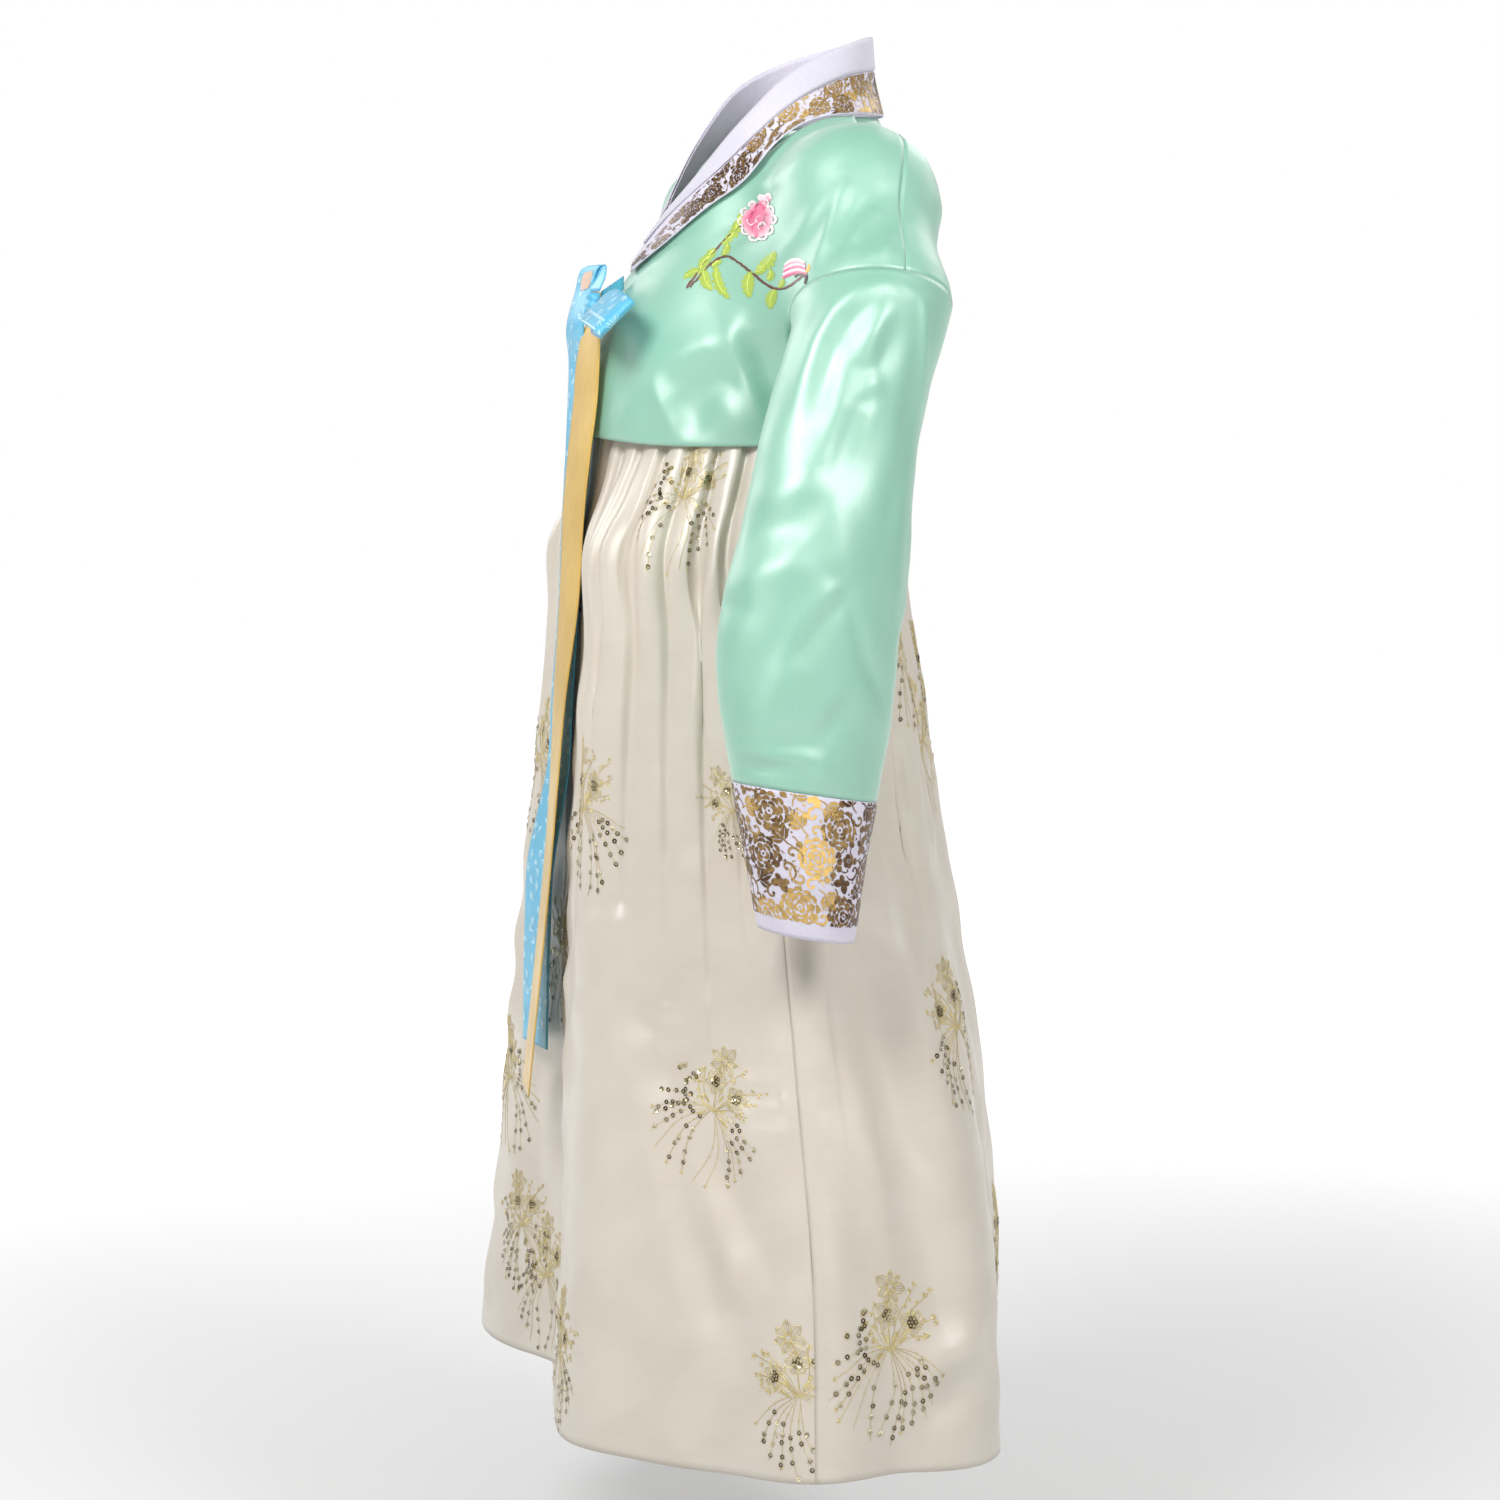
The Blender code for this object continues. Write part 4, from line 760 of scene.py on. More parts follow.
def loop_cloth():
    """The bow's loop: out from the knot, round and back, with its width leaning forward."""
    out = np.array(LOOP_OUT)
    there_and_back = np.concatenate([out, out[-2::-1] * (1, -1)])
    knots = np.concatenate([[0], np.cumsum(np.linalg.norm(np.diff(there_and_back, axis=0), axis=1))])
    along, side = through(knots, there_and_back, np.linspace(0, knots[-1], LOOP_ROWS)).T
    lean = math.radians(LOOP_LEAN_DEG)
    opening = np.array((0.0, math.cos(lean), -math.sin(lean)))
    across = np.array((0.0, -math.sin(lean), -math.cos(lean)))
    path = np.array(KNOT_MIDDLE) + along[:, None] * LOOP_WAY + side[:, None] * opening
    widths = LOOP_HALF_WIDTH * np.clip(LOOP_PINCH + along / LOOP_SPREAD, 0, 1)
    grid = path[:, None] + (np.linspace(-1, 1, LOOP_COLUMNS) * widths[:, None])[..., None] * across
    cloth = Cloth("goreum_loop", grid)
    if ((cloth.outward @ opening) * side[:, None]).sum() < 0:
        cloth = Cloth("goreum_loop", grid[:, ::-1])
    cloth.raise_by(np.full(cloth.points.shape[:2], RIBBON_CLOTH / 2))
    return cloth


def knot_piece(finish):
    """The knot: a pinched ball with the ribbon's turns running over it."""
    deselect_all()
    bpy.ops.mesh.primitive_uv_sphere_add(segments=64, ring_count=32, radius=1.0)
    knot = bpy.context.object
    knot.name = knot.data.name = "bow_knot"
    for vert in knot.data.vertices:
        x, _, z = vert.co
        fold = 0.0
        for lean, phase in KNOT_TURNS:
            fold += KNOT_FOLD * math.sin(KNOT_PACE * (z * math.cos(lean) + x * math.sin(lean)) + phase)
        place = vert.co * (1.0 + fold)
        vert.co = [middle + size * part for middle, size, part in zip(KNOT_MIDDLE, KNOT_SIZE, place)]
    bpy.ops.object.shade_smooth()
    layer = knot.data.uv_layers.active
    layer.name = "cloth"
    for corner in layer.data:
        corner.uv = (corner.uv[0] * KNOT_CLOTH[0], corner.uv[1] * KNOT_CLOTH[1])
    knot.data.materials.clear()
    knot.data.materials.append(finish)
    return knot


# Finishes


def nodes_of(tree):
    """Makers of nodes and links in one tree."""

    def add(kind, **values):
        made = tree.nodes.new(kind)
        for name, value in values.items():
            if name.startswith("in_"):
                made.inputs[int(name[3:])].default_value = value
            else:
                setattr(made, name, value)
        return made

    def join(start, end):
        tree.links.new(start, end)

    return add, join


def ramp(add, start, end, low=0.0, high=1.0):
    """A node that goes smoothly from low at start to high at end."""
    return add(
        "ShaderNodeMapRange", in_1=start, in_2=end, in_3=low, in_4=high, interpolation_type="SMOOTHSTEP"
    )


def woven_cloth_group():
    """Threads, slubs and slow changes of colour on cloth measured in metres."""
    group = bpy.data.node_groups.new("woven_cloth", "ShaderNodeTree")
    face = group.interface
    for name, kind, value in (
        ("Colour", "NodeSocketColor", (1, 1, 1, 1)),
        ("Deep colour", "NodeSocketColor", (0, 0, 0, 1)),
        ("Slubs across", "NodeSocketFloat", 60.0),
        ("Slubs up", "NodeSocketFloat", 900.0),
        ("Slub share", "NodeSocketFloat", 0.5),
        ("Threads", "NodeSocketFloat", 9000.0),
        ("Roughness", "NodeSocketFloat", 0.4),
    ):
        socket = face.new_socket(name=name, in_out="INPUT", socket_type=kind)
        socket.default_value = value
    face.new_socket(name="Colour", in_out="OUTPUT", socket_type="NodeSocketColor")
    face.new_socket(name="Roughness", in_out="OUTPUT", socket_type="NodeSocketFloat")
    face.new_socket(name="Height", in_out="OUTPUT", socket_type="NodeSocketFloat")
    add, join = nodes_of(group)
    given, out = add("NodeGroupInput"), add("NodeGroupOutput")
    measure = add("ShaderNodeUVMap", uv_map="cloth")
    pace = add("ShaderNodeCombineXYZ", in_2=1.0)
    join(given.outputs["Slubs across"], pace.inputs[0])
    join(given.outputs["Slubs up"], pace.inputs[1])
    stretched = add("ShaderNodeVectorMath", operation="MULTIPLY")
    join(measure.outputs[0], stretched.inputs[0])
    join(pace.outputs[0], stretched.inputs[1])
    slubs = add("ShaderNodeTexNoise", noise_dimensions="2D")
    slubs.inputs["Scale"].default_value = 1.0
    slubs.inputs["Detail"].default_value = 3.0
    join(stretched.outputs[0], slubs.inputs["Vector"])
    slub = ramp(add, 0.35, 0.70)
    join(slubs.outputs["Fac"], slub.inputs[0])
    slow = add("ShaderNodeTexNoise", noise_dimensions="2D")
    slow.inputs["Scale"].default_value = 16.0
    slow.inputs["Detail"].default_value = 2.0
    join(measure.outputs[0], slow.inputs["Vector"])
    drift = ramp(add, 0.30, 0.70)
    join(slow.outputs["Fac"], drift.inputs[0])
    share = add("ShaderNodeMix", data_type="FLOAT")
    join(given.outputs["Slub share"], share.inputs[0])
    join(drift.outputs[0], share.inputs[2])
    join(slub.outputs[0], share.inputs[3])
    tint = add("ShaderNodeMix", data_type="RGBA")
    join(share.outputs[0], tint.inputs[0])
    join(given.outputs["Colour"], tint.inputs[6])
    join(given.outputs["Deep colour"], tint.inputs[7])
    join(tint.outputs[2], out.inputs["Colour"])
    parts = add("ShaderNodeSeparateXYZ")
    join(measure.outputs[0], parts.inputs[0])
    waves = []
    for axis in (0, 1):
        turn = add("ShaderNodeMath", operation="MULTIPLY")
        join(parts.outputs[axis], turn.inputs[0])
        join(given.outputs["Threads"], turn.inputs[1])
        wave = add("ShaderNodeMath", operation="SINE")
        join(turn.outputs[0], wave.inputs[0])
        waves.append(wave)
    threads = add("ShaderNodeMath", operation="MULTIPLY")
    join(waves[0].outputs[0], threads.inputs[0])
    join(waves[1].outputs[0], threads.inputs[1])
    small = add("ShaderNodeMath", operation="MULTIPLY_ADD", in_1=0.3)
    join(threads.outputs[0], small.inputs[0])
    join(slub.outputs[0], small.inputs[2])
    join(small.outputs[0], out.inputs["Height"])
    rough = add("ShaderNodeMath", operation="MULTIPLY_ADD", in_1=0.10)
    join(share.outputs[0], rough.inputs[0])
    join(given.outputs["Roughness"], rough.inputs[2])
    join(rough.outputs[0], out.inputs["Roughness"])
    return group


def new_finish(name, **constants):
    """A material with its shader's plain values, named as the sockets are."""
    finish = bpy.data.materials.new(name)
    finish.use_nodes = True
    shader = finish.node_tree.nodes["Principled BSDF"]
    for socket, value in constants.items():
        shader.inputs[socket.replace("_", " ")].default_value = value
    add, join = nodes_of(finish.node_tree)
    return finish, shader, add, join


def cloth_finish(name, colour, deep, slubs, slub_share, roughness, relief, **constants):
    """A woven cloth from the shared group with its own colours, slubs and gloss."""
    finish, shader, add, join = new_finish(name, **constants)
    weave = add("ShaderNodeGroup")
    weave.node_tree = WEAVE
    weave.inputs["Colour"].default_value = (*colour, 1)
    weave.inputs["Deep colour"].default_value = (*deep, 1)
    weave.inputs["Slubs across"].default_value, weave.inputs["Slubs up"].default_value = slubs
    weave.inputs["Slub share"].default_value = slub_share
    weave.inputs["Roughness"].default_value = roughness
    join(weave.outputs["Colour"], shader.inputs["Base Color"])
    join(weave.outputs["Roughness"], shader.inputs["Roughness"])
    bump = add("ShaderNodeBump")
    bump.inputs["Strength"].default_value = relief
    bump.inputs["Distance"].default_value = 0.2 * MM
    join(weave.outputs["Height"], bump.inputs["Height"])
    join(bump.outputs[0], shader.inputs["Normal"])
    return finish


def shaded_finish(name, dark, light, roughness=0.42, metallic=0.0, speck=900.0, **constants):
    """Thread, foil or spangle: its own light and dark by the shade of each piece and a fine speckle; the
    foil's gold light colour is painted reflection.
    """
    finish, shader, add, join = new_finish(name, Metallic=metallic, **constants)
    shade = add("ShaderNodeAttribute", attribute_name="shade")
    place = add("ShaderNodeTexCoord")
    grain = add("ShaderNodeTexNoise")
    grain.inputs["Scale"].default_value = speck
    grain.inputs["Detail"].default_value = 2.0
    join(place.outputs["Object"], grain.inputs["Vector"])
    uneven = add("ShaderNodeMath", operation="MULTIPLY_ADD", in_1=0.5)
    lower = add("ShaderNodeMath", operation="SUBTRACT", in_1=0.5)
    join(grain.outputs["Fac"], lower.inputs[0])
    join(lower.outputs[0], uneven.inputs[0])
    join(shade.outputs["Fac"], uneven.inputs[2])
    held = add("ShaderNodeClamp")
    join(uneven.outputs[0], held.inputs[0])
    tint = add("ShaderNodeMix", data_type="RGBA")
    tint.inputs[6].default_value, tint.inputs[7].default_value = (*dark, 1), (*light, 1)
    join(held.outputs[0], tint.inputs[0])
    join(tint.outputs[2], shader.inputs["Base Color"])
    rough = add("ShaderNodeMath", operation="MULTIPLY_ADD", in_1=0.25)
    rough.inputs[2].default_value = roughness
    join(lower.outputs[0], rough.inputs[0])
    join(rough.outputs[0], shader.inputs["Roughness"])
    bump = add("ShaderNodeBump")
    bump.inputs["Strength"].default_value = 0.5
    bump.inputs["Distance"].default_value = 0.1 * MM
    join(grain.outputs["Fac"], bump.inputs["Height"])
    join(bump.outputs[0], shader.inputs["Normal"])
    return finish


WEAVE = woven_cloth_group()
MINT = cloth_finish(
    "mint_satin", (0.225, 0.520, 0.380), (0.190, 0.475, 0.340), slubs=(900.0, 70.0), slub_share=0.30,
    roughness=0.44, relief=0.08, Specular_IOR_Level=1.0, IOR=1.9, Sheen_Weight=0.5, Sheen_Roughness=0.4,
)
IVORY = cloth_finish(
    "ivory_satin", (0.650, 0.595, 0.510), (0.610, 0.550, 0.465), slubs=(16.0, 420.0), slub_share=0.22,
    roughness=0.38, relief=0.05, Specular_IOR_Level=0.9, IOR=1.55, Sheen_Weight=0.2, Sheen_Roughness=0.4,
)
WHITE_PRINT = cloth_finish(
    "printed_cloth", (0.67, 0.64, 0.74), (0.60, 0.57, 0.67), slubs=(300.0, 300.0), slub_share=0.4,
    roughness=0.55, relief=0.2, Sheen_Weight=0.15,
)
WHITE_COLLAR = cloth_finish(
    "white_collar_cloth", (0.62, 0.60, 0.68), (0.56, 0.54, 0.62), slubs=(350.0, 350.0), slub_share=0.4,
    roughness=0.6, relief=0.25, Sheen_Weight=0.15,
)
BLUE = cloth_finish(
    "blue_brocade", (0.110, 0.500, 0.720), (0.075, 0.410, 0.640), slubs=(500.0, 60.0), slub_share=0.4,
    roughness=0.34, relief=0.15, Specular_IOR_Level=0.7, Sheen_Weight=0.2,
)
GOLD = cloth_finish(
    "gold_satin", (0.720, 0.480, 0.115), (0.560, 0.350, 0.065), slubs=(600.0, 50.0), slub_share=0.5,
    roughness=0.32, relief=0.12, Specular_IOR_Level=0.7, Sheen_Weight=0.15,
)
PEACH = cloth_finish(
    "peach_lining", (0.72, 0.50, 0.38), (0.62, 0.42, 0.31), slubs=(400.0, 60.0), slub_share=0.4,
    roughness=0.45, relief=0.12, Sheen_Weight=0.2,
)
BAND = cloth_finish(
    "band_cloth", (0.80, 0.75, 0.67), (0.72, 0.67, 0.59), slubs=(350.0, 350.0), slub_share=0.5,
    roughness=0.7, relief=0.3,
)


def dress(piece, node, slot):
    """The piece rides on the body and stands for its solid; its slot is not used."""
    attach(piece, BODY)
    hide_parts(node)


cloths = {wall[0]: packed_cloth(*wall) for wall in WALLS}
for seed, cloth in enumerate(cloths.values(), start=CREASE_SEED):
    creased(cloth, seed)

WALL_PIECES = (
    # node, piece, finish, slot
    ("jeogori_back", "jacket_back", MINT, "mint_satin"),
    ("jeogori_front_left", "jacket_front_left", MINT, "mint_satin"),
    ("jeogori_front_right", "jacket_front_right", MINT, "mint_satin"),
    ("sleeve_left", "left_sleeve", MINT, "mint_satin"),
    ("sleeve_right", "right_sleeve", MINT, "mint_satin"),
    ("cuff_left", "left_cuff", WHITE_PRINT, "printed_cloth"),
    ("cuff_right", "right_cuff", WHITE_PRINT, "printed_cloth"),
    ("git_collar", "collar", WHITE_PRINT, "printed_cloth"),
    ("dongjeong_collar", "white_collar", WHITE_COLLAR, "white_collar_cloth"),
    ("chima_front", "skirt_front", IVORY, "ivory_satin"),
    ("chima_back", "skirt_back", IVORY, "ivory_satin"),
)
for node, name, finish, slot in WALL_PIECES:
    dress(shell(cloths[node], name, SHELL, finish), node, slot)
RIBBON_PIECES = (
    # piece, its cloth, finish, slot
    ("gold_tail", ribbon_cloth("goreum_gold_tail", GOLD_TAIL), GOLD, "gold_satin"),
    ("gold_root", ribbon_cloth("goreum_gold_root", GOLD_ROOT, on_edge=True), GOLD, "gold_satin"),
    ("blue_tail", ribbon_cloth("goreum_blue_tail", BLUE_TAIL), BLUE, "blue_brocade"),
    ("blue_root", ribbon_cloth("goreum_blue_root", BLUE_ROOT, on_edge=True), BLUE, "blue_brocade"),
    ("bow_loop", loop_cloth(), BLUE, "blue_brocade"),
)
for name, cloth, finish, slot in RIBBON_PIECES:
    cloths[cloth.node] = cloth
    dress(shell(cloth, name, RIBBON_CLOTH, finish), cloth.node, slot)
dress(knot_piece(BLUE), "goreum_knot", "blue_brocade")
band_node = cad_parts["chima_band"]
band_node.data.materials.clear()
band_node.data.materials.append(BAND)


# Flat work: prints, thread and spangles, drawn flat and laid on a cloth

# How far a print lies over its cloth, and how much lower a ring's inner edge is
PRINT_LIFT, RING_SINK = 0.25 * MM, 0.15 * MM


class Sketch:
    """Flat shapes as points (across, up, lift, shade) and faces."""

    def __init__(self):
        self.points, self.faces, self.count = [], [], 0

    def add(self, points, faces):
        self.points.append(np.asarray(points, float))
        self.faces += [tuple(corner + self.count for corner in face) for face in faces]
        self.count += len(points)

    def band(self, path, half_widths, shade=0.5, lift=PRINT_LIFT, crown=0.0):
        """A strip along a path, with its own half width at each point and a raised middle."""
        path = np.asarray(path, float)
        ways = unit(np.gradient(path, axis=0))
        side = np.stack([-ways[:, 1], ways[:, 0]], axis=1) * np.reshape(half_widths, (-1, 1))
        shade = np.broadcast_to(shade, len(path))
        rows = []
        for share, height in ((1, lift), (0, lift + crown), (-1, lift)):
            rows.append(np.column_stack([path + share * side, np.full(len(path), height), shade]))
        points = np.stack(rows, axis=1).reshape(-1, 4)
        faces = []
        for start in range(0, 3 * (len(path) - 1), 3):
            faces.append((start, start + 1, start + 4, start + 3))
            faces.append((start + 1, start + 2, start + 5, start + 4))
        self.add(points, faces)

    def ring(self, middle, outer, inner, shade, lift, tilt=0.0, turn=0.0, sides=12):
        """A flat ring, such as a spangle with its hole, tilted a little to one side."""
        angles = np.linspace(0, 2 * math.pi, sides, endpoint=False)
        way = np.stack([np.cos(angles), np.sin(angles)], axis=1)
        lean = tilt * np.cos(angles - turn)
        points = []
        for radius, rise in ((outer, 0.0), (inner, -RING_SINK)):
            height = lift + rise + lean * radius / outer
            points.append(np.column_stack([middle + radius * way, height, np.full(sides, shade)]))
        faces = [(i, (i + 1) % sides, sides + (i + 1) % sides, sides + i) for i in range(sides)]
        self.add(np.concatenate(points), faces)

    def place(self, other, turn, scale, mirror):
        """Another sketch, mirrored, scaled and turned, laid into this one."""
        points = np.concatenate(other.points)
        across = points[:, 0] * (-scale if mirror else scale)
        up = points[:, 1] * scale
        cos, sin = math.cos(turn), math.sin(turn)
        turned = (cos * across - sin * up, sin * across + cos * up)
        self.add(np.column_stack([*turned, points[:, 2:]]), other.faces)


def smooth_path(points, count=12):
    """A smooth curve through a few flat points."""
    points = np.asarray(points, float)
    knots = np.concatenate([[0], np.cumsum(np.linalg.norm(np.diff(points, axis=0), axis=1))])
    return through(knots, points, np.linspace(0, knots[-1], count))


def leaf_widths(count, widest, power=0.8):
    """Half widths of a leaf along its length, narrow at both ends."""
    return widest * np.maximum(np.sin(np.pi * np.linspace(0.02, 0.98, count)), 0.03) ** power


def polar(radius, angle):
    return np.stack([np.cos(angle) * radius, np.sin(angle) * radius], axis=-1)


class Work:
    """Laid sketches of one finish, gathered into one piece."""

    def __init__(self):
        self.points, self.faces, self.shades, self.count = [], [], [], 0

    def gather(self, places, outward, points, faces, kept):
        self.points.append(places + points[:, 2:3] * outward)
        self.shades.append(points[:, 3])
        self.faces += [tuple(c + self.count for c in face) for face in faces if all(kept[c] for c in face)]
        self.count += len(points)

    def lay(self, sketch, cloth, spot, turn=0.0, scale=1.0, mirror=False, rows=(0.0, 1.0)):
        """The sketch on the cloth about a spot; what falls off the cloth or its rows is left out."""
        placed = Sketch()
        placed.place(sketch, turn, scale, mirror)
        points = np.concatenate(placed.points)
        at_rows, at_columns, kept = cloth.over(spot, points[:, :2])
        last = len(cloth.points) - 1
        kept = kept & (at_rows >= rows[0] * last) & (at_rows <= rows[1] * last)
        places, outward = cloth.at(at_rows, at_columns)
        self.gather(places, outward, points, placed.faces, kept)

    def lay_seen(self, sketch, cloth):
        """A sketch drawn in pixels of the photograph, laid on the cloth where it shows them."""
        points = np.concatenate(sketch.points)
        rows, columns = np.array([cloth.seen(x, y) for x, y in points[:, :2]]).T
        places, outward = cloth.at(rows, columns)
        self.gather(places, outward, points, sketch.faces, np.ones(len(points), bool))

    def piece(self, name, finish, slot):
        """The gathered faces as one object that rides on the body; its slot is not used."""
        points, shades = np.concatenate(self.points), np.concatenate(self.shades)
        used = sorted({corner for face in self.faces for corner in face})
        number = {old: new for new, old in enumerate(used)}
        faces = [tuple(number[corner] for corner in face) for face in self.faces]
        made = mesh_object(name, points[used], faces, finish, shade=shades[used])
        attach(made, BODY)


# The foil print. Each maker takes the source of random draws, whether or not it draws from it.


def print_peony(draw):
    sketch = Sketch()
    rings = ((2.6, 3, 1.45), (6.0, 6, 1.60), (9.6, 9, 1.70), (13.2, 12, 1.75))
    for radius, petals, half in rings:
        start = draw.uniform(0, 6)
        step = 2 * math.pi / petals
        for petal in range(petals):
            middle = start + petal * step
            angles = middle + np.linspace(-0.44, 0.44, 9) * step
            scallop = radius + 1.6 * np.cos(np.linspace(-1.4, 1.4, 9)) + draw.uniform(-0.9, 0.5)
            angles = angles + draw.uniform(-0.06, 0.06)
            widths = half * (0.45 + 0.55 * np.cos(np.linspace(-1.45, 1.45, 9)))
            sketch.band(polar(scallop * MM, angles), widths * MM)
    sketch.band(np.array(((-1.0, 0), (0, 0.2), (1.0, 0))) * MM, np.array((0.5, 1.0, 0.5)) * MM)
    return sketch


def print_flower(draw):
    sketch = Sketch()
    petals = int(draw.integers(5, 7))
    for petal in range(petals):
        angle = petal * 2 * math.pi / petals
        along = np.linspace(1.7, 6.3, 8)[:, None] * MM * polar(1, angle)
        sketch.band(along, np.array((0.5, 1.3, 1.9, 2.3, 2.5, 2.4, 1.8, 0.6)) * MM)
    sketch.ring(np.zeros(2), 1.3 * MM, 0.5 * MM, 0.5, PRINT_LIFT + RING_SINK)
    return sketch


def print_leaf(draw):
    sketch = Sketch()
    for lobe, length in ((-0.85, 10.5), (0.0, 15.0), (0.85, 10.5)):
        lobe += draw.uniform(-0.15, 0.15)
        along = np.linspace(0.8, length, 9)
        for side in (-1, 1):
            offset = side * (0.35 + 1.45 * np.sin(np.pi * np.linspace(0.03, 0.97, 9)) ** 0.8)
            way, across = polar(1, lobe + math.pi / 2), polar(1, lobe)
            path = (along[:, None] * way + offset[:, None] * across) * MM
            sketch.band(path, leaf_widths(9, 1.5 * MM))
    sketch.band(np.array(((0, 1.0), (0.4, -3.5), (2.0, -7.5))) * MM, np.array((0.7, 0.6, 0.4)) * MM)
    return sketch


def print_scroll(draw):
    sketch = Sketch()
    turn = np.linspace(0, 3.9, 16)
    curl = polar((5.4 - 1.1 * turn) * MM, turn)
    sketch.band(curl, np.linspace(1.1, 0.6, 16) * MM)
    stem = smooth_path(np.array(((5.4, 0.0), (5.8, -4.0), (3.6, -8.0), (-0.5, -10.0))) * MM, 9)
    sketch.band(stem, np.linspace(1.1, 0.35, 9) * MM)
    sketch.ring(polar(1.1 * MM, 3.9), 1.4 * MM, 0.2 * MM, 0.5, 0.4 * MM, sides=8)
    return sketch


def print_butterfly(draw):
    sketch = Sketch()
    for side in (-1, 1):
        for angle, length, widest in ((0.75, 9.5, 3.2), (-0.5, 7.0, 2.4)):
            way = np.array((side * math.cos(angle), math.sin(angle)))
            sketch.band(np.linspace(0.9, length, 9)[:, None] * MM * way, leaf_widths(9, widest * MM, 0.6))
        feeler = smooth_path(np.array(((0, 2.2), (side * 1.0, 4.2), (side * 2.6, 5.0))) * MM, 6)
        sketch.band(feeler, 0.22 * MM)
    sketch.band(np.array(((0, -3.0), (0, 0), (0, 2.6))) * MM, np.array((0.25, 0.75, 0.4)) * MM)
    return sketch


def print_bud(draw):
    sketch = Sketch()
    sketch.band(np.linspace(0, 5.6, 7)[:, None] * MM * np.array((0, 1.0)), leaf_widths(7, 2.1 * MM))
    for side in (-1, 1):
        path = smooth_path(np.array(((0, -0.6), (side * 1.8, 0.8), (side * 2.7, 3.2))) * MM, 6)
        sketch.band(path, leaf_widths(6, 0.7 * MM))
    stalk = smooth_path(np.array(((0, -0.8), (0.3, -3.6), (2.0, -6.0))) * MM, 6)
    sketch.band(stalk, 0.55 * MM)
    return sketch


def print_dots(draw):
    sketch = Sketch()
    for _ in range(3):
        middle, radius = draw.uniform(-1.6, 1.6, 2) * MM, draw.uniform(0.5, 0.9) * MM
        sketch.ring(middle, radius, 0.1 * MM, 0.5, 0.4 * MM, sides=7)
    return sketch


PRINT_MOTIFS = (
    # maker, radius kept clear in mm, how many are tried for on each square decimetre
    (print_peony, 15.0, 14),
    (print_butterfly, 8.0, 4),
    (print_leaf, 7.6, 90),
    (print_flower, 6.4, 14),
    (print_scroll, 5.0, 220),
    (print_bud, 3.4, 300),
    (print_dots, 1.5, 260),
)
TRIES = 4
OVERLAP = 0.90
SQUARE_DECIMETRE = 0.01


def printed(work, cloth, rows, seed, shade_at, motifs=PRINT_MOTIFS, lift=0.0, scale=1.0):
    """Motifs scattered close together, larger ones first, each at a place that is still free."""
    draw = np.random.default_rng(seed)
    height, width = np.array(cloth.points.shape[:2]) - 1
    area = cloth.down[-1] * (rows[1] - rows[0]) * cloth.along[:, -1].mean()
    places, radii = np.zeros((0, 3)), np.zeros(0)
    for maker, radius, density in motifs:
        radius *= scale
        for _ in range(int(density / scale**2 * area / SQUARE_DECIMETRE) * TRIES):
            spot = (draw.uniform(*rows) * height, draw.uniform(0, 1) * width)
            place = cloth.at(np.array(spot[:1]), np.array(spot[1:]))[0][0]
            room = np.linalg.norm(places - place, axis=1) - radii - radius * MM
            turn = draw.uniform(0, 2 * math.pi)
            if len(room) and room.min() < -(1 - OVERLAP) * radius * MM:
                continue
            places, radii = np.vstack([places, place]), np.append(radii, radius * MM)
            sketch = maker(draw)
            for points in sketch.points:
                points[:, 3] = shade_at(place) + draw.uniform(-0.08, 0.08)
                points[:, 2] += lift
            work.lay(sketch, cloth, spot, turn=turn, scale=scale, rows=rows)


# Gold thread and spangles of the skirt


SPANGLE_RADIUS, SPANGLE_HOLE, SPANGLE_LIFT = 2.15 * MM, 0.95 * MM, 0.8 * MM


def star_floret(thread, middle, radius, draw, petals=5):
    """A small flower of short satin stitches."""
    turn = draw.uniform(0, 6)
    for petal in range(petals):
        way = polar(1, turn + petal * 2 * math.pi / petals)
        path = middle + np.linspace(0.15, 1, 4)[:, None] * radius * way
        widths = radius * np.array((0.10, 0.26, 0.22, 0.06))
        thread.band(path, widths, draw.uniform(0.4, 0.9), crown=0.3 * MM)


def lacy_flower(thread, middle, radius, petals, pointed, draw):
    """A head in outline stitch: looped petals with threads running to their tips."""
    turn = draw.uniform(0, 6)
    for petal in range(petals):
        angle = turn + petal * 2 * math.pi / petals + draw.uniform(-0.06, 0.06)
        reach = radius * draw.uniform(0.88, 1.1)
        way, across = polar(1, angle), polar(1, angle + math.pi / 2)
        along = np.linspace(0.16, 1.0, 9)[:, None] * reach
        power = 0.9 if pointed else 0.5
        spread = reach * (0.26 if pointed else 0.34) * np.sin(np.pi * np.linspace(0.04, 0.99, 9)) ** power
        for side in (-1, 1):
            path = middle + along * way + side * spread[:, None] * across
            thread.band(path, 0.42 * MM, draw.uniform(0.45, 0.95), crown=0.3 * MM)
        for side in (-0.45, 0.0, 0.45):
            path = middle + along[:-1] * way + side * spread[:-1, None] * across
            thread.band(path, 0.25 * MM, draw.uniform(0.2, 0.6), crown=0.15 * MM)


def spangle(rings, middle, draw, white=0.06):
    """A spangle tilted at random: the given share is white, some are pale and the rest are dark."""
    roll = draw.random()
    shade = 1.0 if roll < white else 0.60 if roll < 0.22 else draw.uniform(0.0, 0.35)
    turn, tilt = draw.uniform(0, 6), draw.uniform(0.1, 0.45) * MM
    rings.ring(np.asarray(middle), SPANGLE_RADIUS, SPANGLE_HOLE, shade, SPANGLE_LIFT, tilt, turn)


